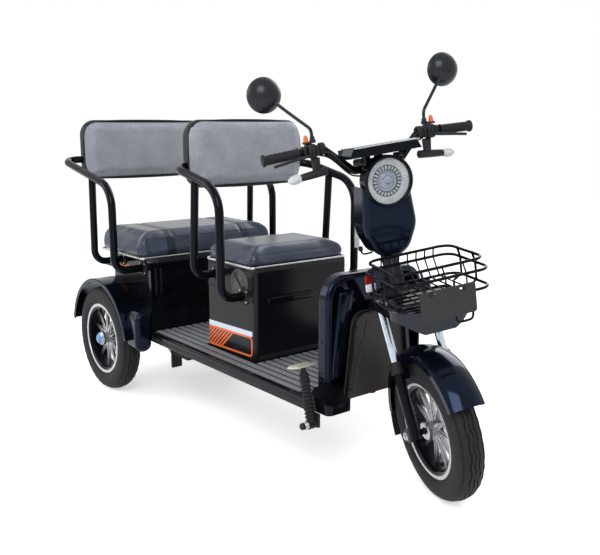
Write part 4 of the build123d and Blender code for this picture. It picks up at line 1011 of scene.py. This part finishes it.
def switches():
    """Two-part switch housings with a slim brake lever close before each grip, their
    buttons, and short cables tied to the bar."""
    bodies = []
    for side in (-1, 1):
        for along, wide, deep, high, lift in ((0, 24, 21, 19, 0), (-17, 11, 18, 15, -1), (18, 10, 17, 14, 1)):
            middle = side * (180 + along)
            bodies.append(
                slab(
                    "housing",
                    at(1188.6 - deep, middle - wide / 2, 980.4 - high + lift),
                    at(1188.6 + deep, middle + wide / 2, 980.4 + high + lift),
                    6 * MM,
                    3,
                )
            )
        bodies.append(
            bent_rod(
                "brake_lever",
                line_at([
                    (1196, 178, 974), (1210, 184, 972), (1214, 196, 970), (1210, 222, 966),
                    (1206, 258, 961), (1202, 292, 955),
                ], side),
                4 * MM,
            )
        )
    housings = joined("switch_housings", bodies)
    finish_piece(housings, grained_plastic, "steering", 40)
    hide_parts("bar_controls")
    for side, word in SIDES:
        end, inwards, out = bar_line(side)
        foot = slab(
            "switch_foot_" + word,
            at(1179, side * 190 - 9, 1000),
            at(1199, side * 190 + 9, 1006),
            2.5 * MM,
        )
        finish_piece(foot, grained_plastic, "steering")
        tab = turned_piece(
            "switch_tab_" + word,
            [(0, 20), (3, 19.4), (5, 17), (6.4, 10), (7.2, 3), (7.2, 0), (0, 0)],
            at(1189, side * 190, 1004), UP, AHEAD, 24,
        )
        finish_piece(tab, signal_orange, "steering")
        rocker = slab(
            "switch_rocker_" + word,
            at(1166, side * 168 - 9, 984),
            at(1171, side * 168 + 9, 994),
            2.4 * MM,
        )
        finish_piece(rocker, black_tube, "steering")
        band = turned_piece(
            "switch_band_" + word,
            [(21.5, -2.2), (23.2, -2.2), (23.2, 2.2), (21.5, 2.2), (21.5, -2.2)],
            end + inwards * (137 * MM), inwards, out, 40,
        )
        finish_piece(band, black_steel, "steering")
        collar = turned_piece(
            "switch_collar_" + word,
            [(11.2, -1), (15.5, -1), (17, 1), (17, 12), (15, 15), (11.2, 16), (11.2, -1)],
            end + inwards * (160.5 * MM), inwards, out, 32,
        )
        finish_piece(collar, grip_rubber, "steering")
        cables = []
        for drop, radius in ((0, 2.8), (9, 2.4)):
            ahead = 1205 - drop
            route = [
                (ahead - 1, 157, 974 - drop), (ahead, 138, 974 - drop * 1.4), (ahead, 112, 952 - drop * 1.6),
                (ahead, 84, 920 - drop * 1.6), (ahead, 62, 901 - drop * 1.2), (ahead - 1, 34, 898 - drop),
            ]
            cables.append(bent_rod("cable", line_at(route, side), radius * MM))
        finish_piece(joined("bar_cables_" + word, cables), grip_rubber, "steering", 60)


def signals():
    """Slim turn signals on square drop stems, each with a clear faceted tip."""
    bodies, lenses = [], []
    for side in (-1, 1):
        root = at(1190, side * 140, 920)
        out = Vector((0, side, -0.1)).normalized()
        bodies.append(
            turned_piece(
                "signal_body",
                [
                    (0, 0), (8.6, 0), (10.8, 1.6), (11.4, 5), (11.3, 30), (10.6, 60), (9.8, 76), (9.2, 78.6),
                    (0, 78.6),
                ],
                root, out, AHEAD, 40,
            )
        )
        stem = slab("signal_stem", at(1183, side * 170 - 12, 918), at(1197, side * 170 + 12, 961), 3.5 * MM)
        for vertex in stem.data.vertices:
            share = (vertex.co.z - 0.918) / 0.043
            vertex.co.y = side * 0.170 + (vertex.co.y - side * 0.170) * (0.82 + 0.25 * share)
        bodies.append(stem)
        lenses.append(
            turned_piece(
                "signal_lens",
                [
                    (0, 78.8), (9.4, 78.8), (10.6, 80.2), (12.2, 86), (13.2, 94), (12.8, 100), (10.8, 107),
                    (7.2, 112.6), (3.4, 115.8), (0, 116.4),
                ],
                root, out, AHEAD, 24,
            )
        )
    body = joined("signal_bodies", bodies)
    finish_piece(body, grained_plastic, "steering")
    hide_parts("turn_signals")
    finish_piece(joined("signal_lenses", lenses), signal_clear, "steering", 20)


def bar_mirrors():
    """Round mirrors with domed backs, on thin bent stems that stand on the housings."""
    shells, glasses = [], []
    for side in (-1, 1):
        centre = at(1129, side * 272, 1142)
        shells.append(
            turned_piece(
                "mirror_dome",
                [
                    (0, 33.8), (8, 33.2), (17, 31.2), (26, 27.6), (34, 22.4), (41, 15.8), (45.8, 9), (48, 4.6),
                    (48.8, 1.6), (48.2, -0.4), (46.4, -0.6), (45.4, 1.2), (0, 1.2),
                ],
                centre, AHEAD, UP, 64,
            )
        )
        glasses.append(
            turned_piece(
                "mirror_glass",
                [(0, 0), (45, 0.4), (45.2, 1.1), (0, 1.1)],
                centre, AHEAD, UP, 64,
            )
        )
        shells.append(
            bent_rod(
                "mirror_stem",
                line_at([
                    (1186, 170, 1001), (1186, 170, 1020), (1186, 171, 1038), (1182, 180, 1048),
                    (1166, 214, 1082), (1152, 246, 1116), (1142, 268, 1138),
                ], side),
                4.6 * MM,
            )
        )
        shells.append(
            turned_piece(
                "mirror_nut",
                [(0, 0), (9, 0), (9, 8), (7, 9.5), (7, 15), (6, 17), (0, 17)],
                at(1186, side * 170, 1001), UP, AHEAD, 6,
            )
        )
    body = joined("mirror_backs", shells)
    finish_piece(body, mirror_plastic, "steering", 38)
    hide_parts("mirrors")
    finish_piece(joined("mirror_glasses", glasses), mirror_silver, "steering", 30)


bar_grips()
switches()
signals()
bar_mirrors()


# ---- Fork and front fender -----------------------------------------------------------

RAKE = math.radians(23.6)
FORK_UP = Vector((-math.sin(RAKE), 0, math.cos(RAKE)))
FORK_AHEAD = Vector((math.cos(RAKE), 0, math.sin(RAKE)))


def fork_trim():
    """Rubber dust seals over the legs, two clamp rings on each at the crown, and axle nuts."""
    for side, word in SIDES:
        leg = WHEEL + FORK_AHEAD * 0.018 + Vector((0, side * 0.075, 0))
        seal = turned_piece(
            "fork_seal_" + word,
            [
                (12.1, 202), (14, 202), (16, 199), (18.6, 197), (19.2, 190), (18.2, 186), (19.2, 182),
                (18.2, 178), (19.0, 174), (18, 170), (15.1, 168), (15.1, 189), (12.1, 189), (12.1, 202),
            ],
            leg, FORK_UP, FORK_AHEAD, 40,
        )
        finish_piece(seal, grip_rubber, "steering")
        for low in (362, 396):
            ring = turned_piece(
                f"crown_ring_{word}_{low}",
                [
                    (12.1, low), (16.5, low), (17.5, low + 2), (17.5, low + 9), (16.5, low + 11),
                    (12.1, low + 11), (12.1, low),
                ],
                leg, FORK_UP, FORK_AHEAD, 36,
            )
            finish_piece(ring, black_tube, "steering")
        nut = turned_piece(
            "axle_nut_" + word,
            [
                (0, side * 101.5), (4, side * 101.2), (7.5, side * 100), (7.5, side * 97),
                (11.5, side * 97), (12.5, side * 95.5), (12.5, side * 90.5), (0, side * 90.5),
            ],
            WHEEL, ACROSS, FORK_AHEAD, 6,
        )
        finish_piece(nut, turned_aluminium, "steering", 20)


FENDER_MIDDLE = WHEEL + Vector((0.010, 0, 0.012))
FLAP_RADIUS = 222.5 * MM


def fender_flap():
    """A rubber flap under the tail of the front fender."""
    points = []
    for angle in (176, 184, 192, 200, 208):
        turn = math.radians(angle)
        way = Vector((math.cos(turn), 0, math.sin(turn)))
        half_width = (40 + (angle - 176) * 0.2) * MM
        points.append(FENDER_MIDDLE + way * FLAP_RADIUS - ACROSS * half_width)
    flap = drawn_line("fender_flap", points)
    edit_whole(flap)
    bpy.ops.mesh.extrude_region_move(TRANSFORM_OT_translate={"value": (0, 0.082, 0)})
    bpy.ops.mesh.select_all(action="SELECT")
    bpy.ops.mesh.subdivide(number_cuts=2)
    leave_edit()
    apply_modifier(flap, "SOLIDIFY", thickness=2.2 * MM, offset=0)
    finish_piece(flap, grip_rubber, "steering", 40)


fork_trim()
fender_flap()


# ---- Carrier, plate and tray ---------------------------------------------------------

def plate_fittings():
    """Two bolts through the plate's slots and a wire guard under it."""
    for side, word in SIDES:
        bolt = turned_piece(
            "plate_bolt_" + word,
            [(0, 3.6), (2, 3.4), (3.4, 2.4), (4, 1.4), (4, 1), (5.6, 1), (5.8, 0.5), (5.8, 0), (0, 0)],
            at(1560.4, side * 45, 627), AHEAD, UP, 24,
        )
        finish_piece(bolt, black_steel, "steering", 30)
    guard = bent_rod(
        "plate_guard",
        line_at([
            (1553, 22, 612), (1553, 22, 580), (1553, 22, 548), (1553, 27, 540), (1553, 34, 538),
            (1553, 58, 538), (1553, 65, 540), (1553, 70, 548), (1553, 70, 580), (1553, 70, 612),
        ]),
        3.4 * MM,
    )
    finish_piece(guard, black_tube, "steering", 60)


def carrier_fittings():
    """A red and white reflector on the right rail, on its small bracket."""
    bracket = slab("reflector_bracket", at(1366, -133, 598), at(1374, -128, 664), 2 * MM)
    finish_piece(bracket, black_steel, "steering")
    for low, high, word, finish in ((634, 655, "red", lamp_red), (612, 633, "white", white_reflector)):
        lens = slab("reflector_" + word, at(1374.2, -141, low), at(1381, -113, high), 2.4 * MM, 3)
        finish_piece(lens, finish, "steering")


def tray_hood():
    """A shallow raised rim round the top of the tray, and four ribs across it."""
    loop = [
        at(1356, -96, 576), at(1378, -106, 576), at(1420, -108, 576), at(1470, -104, 576), at(1496, -84, 576),
        at(1501, -40, 576), at(1502, 0, 576), at(1501, 40, 576), at(1496, 84, 576), at(1470, 104, 576),
        at(1420, 108, 576), at(1378, 106, 576), at(1356, 96, 576), at(1353, 40, 576), at(1353, -40, 576),
    ]
    rim = bent_rod("tray_rim", loop, 3.2 * MM, closed=True)
    finish_piece(rim, black_tube, "steering", 60)
    for ahead in (1385, 1415, 1445, 1475):
        rib = slab(f"tray_rib_{ahead}", at(ahead - 5, -86, 574), at(ahead + 5, 86, 577.6), 1.8 * MM)
        finish_piece(rib, black_tube, "steering")


plate_fittings()
carrier_fittings()
tray_hood()


# ---- Floor, boxes and shield ---------------------------------------------------------

def row_of_slabs(name, first, step, count, finish):
    """Copies a slab along a row on the frame and joins the row into one piece."""
    pieces = [first] + [copy_of(first, name, Matrix.Translation(step * place)) for place in range(1, count)]
    finish_piece(joined(name, pieces), finish, "frame")


def ribbed_mat():
    """A rubber mat with ribs along the floor, cut out round the front seat box, and a black
    metal edging down each side."""
    pieces = []
    for rib in range(17):
        left = (rib - 8) * 30
        runs = [(296, 550), (845, 1136)] if abs(left) < 205 else [(296, 1136)]
        for start, end in runs:
            low, high = at(start, left - 10.5, 277.6), at(end, left + 10.5, 281)
            pieces.append(slab("mat_rib", low, high, 1.3 * MM, 1))
            pieces[-1].data.materials.append(mat_rubber)
    base = slab("mat_base", at(292, -256, 276.2), at(1139, 256, 278), 0.8 * MM, 1)
    cut_away(base, slab("box_foot", at(553, -192, 270), at(842, 192, 290)))
    # The base between the ribs is black: painted shade in the grooves.
    base.data.materials.append(grip_rubber)
    mat = joined("ribbed_mat", pieces + [base])
    finish_piece(mat, mat_rubber, "frame", 30)
    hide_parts("floor_mat")
    for side, word in SIDES:
        low, high = at(292, side * 263.5 - 6, 275.6), at(1184, side * 263.5 + 6, 280.4)
        edge = slab("floor_edging_" + word, low, high, 1.8 * MM)
        finish_piece(edge, black_tube, "frame")
        low, high = at(300, side * 270.4 - 1.1, 251), at(1184, side * 270.4 + 1.1, 263)
        skirt = slab("floor_skirt_" + word, low, high, 0.9 * MM, 1)
        finish_piece(skirt, black_steel, "frame")
        bolt = turned_piece(
            "edging_bolt",
            [(0, 0), (6.5, 0), (6.5, 2.4), (5.4, 3.6), (0, 3.8)],
            at(320, side * 264, 280), UP, AHEAD, 6,
        )
        row_of_slabs("edging_bolts_" + word, bolt, Vector((0.2, 0, 0)), 5, black_steel)


def seat_box_trim():
    """The front box's fittings: a charging cover in a recess on its right side with a strap
    over it, a louvred panel and a seam on each flank, and a raised grab bar over a foot strip
    on its face."""
    recess = turned_piece(
        "charge_recess",
        [(0, -0.2), (40, -0.2), (41.5, 1.6), (44, 2.2), (46.5, 1.8), (47.5, 0), (47.5, -1.6), (0, -1.6)],
        at(752, -190.4, 524), -ACROSS, UP, 64,
    )
    finish_piece(recess, recess_plastic, "frame", 30)
    cover = turned_piece(
        "charge_cover",
        [(0, 5.2), (10, 5), (20, 4.2), (27, 2.8), (29.5, 0.8), (30, -0.2), (0, -0.2)],
        at(752, -190.4, 524), -ACROSS, UP, 48,
    )
    finish_piece(cover, recess_plastic, "frame", 30)
    strap = bent_rod(
        "charge_strap",
        line_at([
            (728, -194, 556), (738, -196.5, 546), (758, -197.5, 526), (778, -196.5, 508), (790, -193, 500),
        ]),
        2.2 * MM,
    )
    finish_piece(strap, grained_plastic, "frame", 60)
    for side, word in SIDES:
        low, high = at(800, side * 191.2 - 1.4, 470), at(826, side * 191.2 + 1.4, 560)
        panel = slab("corner_panel_" + word, low, high, 1.3 * MM)
        finish_piece(panel, grained_plastic, "frame")
        slat = slab("louvre", at(804, side * 193 - 1, 490), at(807, side * 193 + 1, 552), 0.8 * MM, 1)
        row_of_slabs("louvre_" + word, slat, Vector((6 * MM, 0, 0)), 4, black_tube)
        low, high = at(562, side * 190.6 - 0.6, 466), at(800, side * 190.6 + 0.6, 470)
        seam = slab("box_seam_" + word, low, high, 0.5 * MM, 1)
        for vertex in seam.data.vertices:
            share = (vertex.co.x - low.x) / (high.x - low.x)
            vertex.co.z += 0.030 * (1 - share) ** 2
        finish_piece(seam, black_tube, "frame")
    bar = slab("face_bar", at(838, -148, 464), at(851, 40, 486), 6 * MM, 3)
    finish_piece(bar, black_tube, "frame")
    foot = slab("face_foot_strip", at(839, -176, 284), at(842.5, 176, 300), 1.6 * MM)
    finish_piece(foot, grained_plastic, "frame")


def rear_box_trim():
    """The rear box's front panel: a raised lip, two upright bars at each side, a shallow
    pressed field and its latch; and a bright orange streak on each flank."""
    lip = slab("rear_panel_lip", at(289, -232, 523), at(295, 232, 531), 2.4 * MM)
    finish_piece(lip, black_tube, "frame")
    for side, word in SIDES:
        bars = []
        for left in (246, 226):
            bars.append(
                bent_rod(
                    "panel_bar",
                    line_at([
                        (290, left, 512), (298, left, 509), (300, left, 498), (300, left, 430),
                        (298, left, 416), (290, left, 412),
                    ], side),
                    3.4 * MM,
                )
            )
        finish_piece(joined("panel_bars_" + word, bars), black_tube, "frame", 60)
        streak = cut_from_sheet(
            "flank_streak_" + word,
            [
                at(ahead, side * 240.3, up)
                for ahead, up in ((-5, 486), (30, 474), (80, 470), (118, 476), (112, 488), (70, 497), (25, 496))
            ],
            (0, side * 0.5 * MM, 0),
        )
        finish_piece(streak, signal_orange, "frame")
    field = cut_from_sheet(
        "rear_panel_field",
        [(LEFT_WHEEL.x + 0.2905, y, z) for y, z in rounded_loop(-0.196, 0.196, 0.300, 0.505, 0.02, 4)],
        (2.4 * MM, 0, 0),
    )
    press_in(field, 7, 1.8)
    finish_piece(field, box_enamel, "frame", 30)
    latch = turned_piece(
        "rear_panel_latch",
        [(0, 7), (4, 7), (4.6, 6), (9.6, 6), (11, 4.6), (11.6, 0), (0, 0)],
        at(292.5, 0, 475), AHEAD, UP, 36,
    )
    finish_piece(latch, plated_chrome, "frame")


def shield_trim():
    """Inside the leg shield two upright pods beside the centre channel, round its mouth a
    thin bead, and on each flank a row of screws."""
    for side, word in SIDES:
        low, high = at(1150, side * 140 - 30, 300), at(1176, side * 140 + 30, 560)
        pod = slab("shield_pod_" + word, low, high, 13 * MM, 4)
        for vertex in pod.data.vertices:
            share = (vertex.co.z - low.z) / (high.z - low.z)
            vertex.co.y -= side * 0.034 * share
        finish_piece(pod, enamel, "frame", 50)
        bead = bent_rod(
            "shield_bead_" + word,
            line_at([
                (1184, 178, 292), (1185, 178, 400), (1185, 178, 528), (1185, 172, 566), (1185, 150, 588),
                (1185, 118, 596), (1185, 40, 597), (1185, 0, 597),
            ], side),
            2.6 * MM,
        )
        finish_piece(bead, black_tube, "frame", 60)
        screw = turned_piece(
            "shield_screw",
            [(0, 2.2), (3.4, 2), (5.6, 0.8), (6, -0.6), (0, -0.6)],
            at(1162, side * 192.2, 330), ACROSS * side, UP, 20,
        )
        row_of_slabs("shield_screws_" + word, screw, Vector((0, 0, 0.09)), 3, black_steel)


def apron_trim():
    """The gloss rolled edge of the apron, a pressed rib on each side inside it, and its screws."""
    edge = bent_rod(
        "apron_edge",
        spanned([
            (1197, -127, 243), (1197, -118, 320), (1197, -107, 405), (1197, -101, 455), (1197, -93, 482),
            (1197, -72, 493), (1197, -40, 494),
        ]),
        5 * MM,
    )
    finish_piece(edge, black_tube, "frame", 60)
    for side, word in SIDES:
        rib = bent_rod(
            "apron_rib_" + word,
            line_at([
                (1190.6, 92, 250), (1190.6, 86, 300), (1190.6, 72, 360), (1190.6, 52, 420),
                (1190.6, 44, 470),
            ], side),
            2.6 * MM,
        )
        finish_piece(rib, apron_reflection_plastic, "frame", 60)
        for up in (268, 452):
            screw = turned_piece(
                f"apron_screw_{word}_{up}",
                [(0, 2), (3, 1.8), (5, 0.6), (5.2, -1), (0, -1)],
                at(1190.4, side * (104 if up < 300 else 84), up), AHEAD, UP, 20,
            )
            finish_piece(screw, black_steel, "frame")


def foot_brake():
    """The brake pedal: a pressed steel pad with raised bars, on a lever in a rubber bellows,
    with its pivot under the floor's edge."""
    foot = at(1232, -286, 222)
    lean = math.radians(-14)
    place = Matrix.Translation(foot) @ Matrix.Rotation(lean, 4, "Y")
    axis = Vector((math.sin(lean), 0, math.cos(lean)))
    side = Vector((math.cos(lean), 0, -math.sin(lean)))
    outline = [(0, 2), (9, 2), (12, 3.5)]
    for ring in range(13):
        start = 5 + 10.4 * ring
        outline += [
            (11.4, start), (14.6, start + 2.2), (15, start + 4.2), (14.6, start + 6.2), (11.4, start + 8.4),
        ]
    outline += [(10, 143), (7, 145), (7, 158), (0, 158)]
    boot = turned_piece("pedal_boot", outline, foot, axis, side, 36)
    finish_piece(boot, grip_rubber, "frame", 40)
    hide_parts("brake_pedal")
    pad = slab("pedal_pad", (-23 * MM, -37 * MM, 157 * MM), (23 * MM, 37 * MM, 163.4 * MM), 2.8 * MM, 2)
    pieces = [pad]
    for bar in range(7):
        along = (bar - 3) * 6.2 * MM
        low, high = (along - 1.5 * MM, -33 * MM, 162.6 * MM), (along + 1.5 * MM, 33 * MM, 165.6 * MM)
        pieces.append(slab("pedal_bar", low, high, 0.9 * MM, 1))
    plate = joined("pedal_pad", pieces)
    plate.data.transform(place)
    finish_piece(plate, tread_steel, "frame", 30)
    pivot = turned_piece(
        "pedal_pivot",
        [
            (0, -322), (8, -322), (9.5, -320), (9.5, -314), (7, -313), (7, -300), (13, -299), (13, -273),
            (7, -272), (7, -266), (0, -266),
        ],
        at(1232, 0, 222), ACROSS, AHEAD, 32,
    )
    finish_piece(pivot, black_steel, "frame")
    lug = slab("pedal_lug", at(1218, -275, 210), at(1246, -265.4, 250.6), 3 * MM)
    finish_piece(lug, black_steel, "frame")
    spring = []
    for turn_number in range(49):
        turn = turn_number * math.pi / 4
        ahead, up = 10.5 * math.cos(turn), 10.5 * math.sin(turn)
        spring.append(at(1232 + ahead, -312.5 + turn_number * 0.24, 222 + up))
    finish_piece(bent_rod("pedal_spring", spring, 1.2 * MM, sides=2), turned_aluminium, "frame", 60)


def upright_reflector():
    """A long pale reflector on the front of the left armrest's upright."""
    piece = slab("upright_reflector_left", at(791, 279 - 11, 598), at(799, 279 + 11, 694), 7.5 * MM, 4)
    finish_piece(piece, white_reflector, "frame", 50)


ribbed_mat()
seat_box_trim()
rear_box_trim()
shield_trim()
apron_trim()
foot_brake()
upright_reflector()


# ---- Armrests, rear fenders and running gear -----------------------------------------

def armrest_feet():
    """A foot plate with four bolts where each armrest tube meets its box."""
    for name, x, y, z, wide in (
        ("front_arm", 780, 190, 487, 30),
        ("rear_arm", 197, 240, 500, 30),
        ("front_brace", 620, 190, 537, 26),
        ("rear_brace", 30, 240, 512, 26),
    ):
        for side, word in SIDES:
            plate = turned_piece(
                f"{name}_foot_{word}",
                [
                    (15, 0.4), (wide, 0.4), (wide, 3.4), (wide - 1.4, 4.4), (19, 4.8), (17, 7.5), (15, 8.5),
                    (15, 0.4),
                ],
                at(x, side * y, z), ACROSS * side, UP, 40,
            )
            finish_piece(plate, black_steel, "frame", 30)
            bolts = []
            for turn in (45, 135, 225, 315):
                way = Vector((math.cos(math.radians(turn)), 0, math.sin(math.radians(turn))))
                spot = way * (wide - 6) * MM
                bolts.append(
                    turned_piece(
                        "foot_bolt",
                        [(0, 8), (2.6, 8), (3.6, 7), (3.8, 4.4), (0, 4.4)],
                        at(x, side * y, z) + spot, ACROSS * side, UP, 6,
                    )
                )
            finish_piece(joined(f"{name}_bolts_{word}", bolts), turned_aluminium, "frame", 20)


def rear_lights():
    """A black surround, an amber top and a clear bottom for each rear lamp, with moulded
    ribs, and a round reflector on each side."""
    low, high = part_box("rear_lamps")
    x, z = low.x, (low.z + high.z) / 2
    for side, word in SIDES:
        middle = side * 185 * MM
        edge = rounded_loop(middle - 0.046, middle + 0.046, z - 0.031, z + 0.031, 0.012, 5)
        surround = cut_from_sheet(
            "lamp_surround_" + word,
            [(x + 6 * MM, across, up) for across, up in edge],
            (14 * MM, 0, 0),
        )
        body_low, body_high = (x - 0.02, middle - 0.0402, z - 0.0252), (x + 0.05, middle + 0.0402, z + 0.0252)
        cut_away(surround, slab("lamp_body", body_low, body_high))
        finish_piece(surround, grained_plastic, "frame", 30)
        for share, finish, tint in ((0.62, lamp_amber, "amber"), (-0.62, white_reflector, "clear")):
            window = slab(
                f"lamp_window_{tint}_{word}",
                (x - 1.4 * MM, middle - 0.036, z + share * 0.025 - 0.006),
                (x + 2 * MM, middle + 0.036, z + share * 0.025 + 0.006),
                1.2 * MM,
            )
            finish_piece(window, finish, "frame")
        rib_low, rib_high = (x - 1 * MM, middle - 0.034, z - 0.0085), (x + 1 * MM, middle - 0.0325, z + 0.0085)
        rib = slab("lamp_rib", rib_low, rib_high, 0.6 * MM, 1)
        row_of_slabs("lamp_ribs_" + word, rib, Vector((0, 6.1 * MM, 0)), 12, lamp_red)
        dot = turned_piece(
            "round_reflector_" + word,
            [(0, 4), (14, 3.6), (17, 2.6), (18.6, 0.6), (18.8, -1), (0, -1)],
            Vector((at(-50, 0, 0).x, side * 0.185, 0.335)), -AHEAD, UP, 48,
        )
        finish_piece(dot, lamp_red, "frame")


FENDER_RIM_RADIUS = 234.5 * MM
FENDER_RIM_FROM_MIDDLE = 344 * MM


def rear_fender_trim():
    """The rolled bead along each rear fender's rim."""
    for side, word in SIDES:
        points = []
        for step in range(13):
            turn = math.radians(12 + 13 * step)
            place = LEFT_WHEEL + Vector((math.cos(turn), 0, math.sin(turn))) * FENDER_RIM_RADIUS
            place.y = side * FENDER_RIM_FROM_MIDDLE
            points.append(place)
        bead = bent_rod("fender_bead_" + word, points, 2.6 * MM)
        finish_piece(bead, black_tube, "frame", 60)


def motor_fins():
    """Cooling ribs round the drive motor."""
    low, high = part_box("drive_motor")
    middle = (low + high) / 2
    radius = (high.x - low.x) / 2 / MM
    width = (high.y - low.y) / MM
    pieces = []
    for fin in range(9):
        place = -width / 2 + 24 + fin * (width - 48) / 8
        pieces.append(
            turned_piece(
                "motor_fin",
                [
                    (radius - 3, place - 2), (radius + 2.6, place - 1.2), (radius + 3, place),
                    (radius + 2.6, place + 1.2), (radius - 3, place + 2), (radius - 3, place - 2),
                ],
                middle, ACROSS, AHEAD, 64,
            )
        )
    finish_piece(joined("motor_fins", pieces), cast_aluminium, "frame", 30)


armrest_feet()
rear_lights()
rear_fender_trim()
motor_fins()


# ---- Studio and camera ---------------------------------------------------------------

FLOOR_SIZE = 60.0
FLOOR_GLOW = 0.5
SURROUND_LIGHT = 0.55
CAMERA_AT = Vector((LEFT_WHEEL.x + 2.778, -1.562, 1.023))
CAMERA_YAW = 141.36
CAMERA_PITCH = -11.14
FOCAL_LENGTH = 46.74


def studio():
    """A pale floor, a white surround and three wide soft lamps."""
    scene = bpy.context.scene
    scene.view_settings.view_transform = "Standard"
    world = bpy.data.worlds.new("surround")
    world.use_nodes = True
    scene.world = world
    # The surround shows white to the eye, in mirrors and through glass, and lights less.
    path = add_node(world, "ShaderNodeLightPath")
    either = add_node(
        world,
        "ShaderNodeMath",
        {0: path.outputs["Is Glossy Ray"], 1: path.outputs["Is Transmission Ray"]},
        operation="MAXIMUM",
    )
    seen = add_node(
        world,
        "ShaderNodeMath",
        {0: path.outputs["Is Camera Ray"], 1: either.outputs["Value"]},
        operation="MAXIMUM",
    )
    strength = add_node(world, "ShaderNodeMapRange", {"Value": seen.outputs["Value"]}, To_Min=SURROUND_LIGHT)
    background = world.node_tree.nodes["Background"]
    background.inputs["Color"].default_value = (1, 1, 1, 1)
    world.node_tree.links.new(strength.outputs["Result"], background.inputs["Strength"])

    bpy.ops.object.select_all(action="DESELECT")
    bpy.ops.mesh.primitive_plane_add(size=FLOOR_SIZE, location=(0, 0, 0))
    floor = bpy.context.object
    floor.name = "studio_floor"
    paper, shader = new_material("studio_paper", Base_Color=hex_colour("#f4f4f4"), Roughness=0.95)
    shader.inputs["Specular IOR Level"].default_value = 0.0
    ray = add_node(paper, "ShaderNodeLightPath")
    mirrored = add_node(
        paper,
        "ShaderNodeMath",
        {0: ray.outputs["Is Glossy Ray"], 1: ray.outputs["Is Transmission Ray"]},
        operation="MAXIMUM",
    )
    looked_at = add_node(
        paper,
        "ShaderNodeMath",
        {0: ray.outputs["Is Camera Ray"], 1: mirrored.outputs["Value"]},
        operation="MAXIMUM",
    )
    glow = add_node(
        paper,
        "ShaderNodeMath",
        {0: looked_at.outputs["Value"], 1: FLOOR_GLOW},
        operation="MULTIPLY",
    )
    white = add_node(paper, "ShaderNodeEmission", {"Strength": glow.outputs["Value"]})
    both = add_node(paper, "ShaderNodeAddShader", {0: shader.outputs["BSDF"], 1: white.outputs["Emission"]})
    surface = paper.node_tree.nodes["Material Output"].inputs["Surface"]
    paper.node_tree.links.new(both.outputs["Shader"], surface)
    floor.data.materials.append(paper)

    for name, place, aim, size, power in (
        ("lamp_key", (3.0, -2.6, 3.4), (0.0, 0.0, 0.5), 2.4, 130),
        ("lamp_fill", (-2.2, -3.2, 2.2), (0.0, 0.0, 0.5), 2.6, 60),
        ("lamp_back", (-1.0, 3.2, 3.0), (0.0, 0.0, 0.6), 2.6, 70),
    ):
        lamp = bpy.data.lights.new(name, "AREA")
        lamp.energy = power
        lamp.size = size
        holder = bpy.data.objects.new(name, lamp)
        holder.location = place
        holder.rotation_euler = (Vector(aim) - Vector(place)).to_track_quat("-Z", "Y").to_euler()
        scene.collection.objects.link(holder)

    lens = bpy.data.cameras.new("camera")
    lens.lens = FOCAL_LENGTH
    lens.sensor_width = 36
    camera = bpy.data.objects.new("camera", lens)
    yaw = math.radians(CAMERA_YAW)
    pitch = math.radians(CAMERA_PITCH)
    look = Vector((math.cos(pitch) * math.cos(yaw), math.cos(pitch) * math.sin(yaw), math.sin(pitch)))
    camera.location = CAMERA_AT
    camera.rotation_euler = look.to_track_quat("-Z", "Y").to_euler()
    scene.collection.objects.link(camera)
    scene.camera = camera


studio()
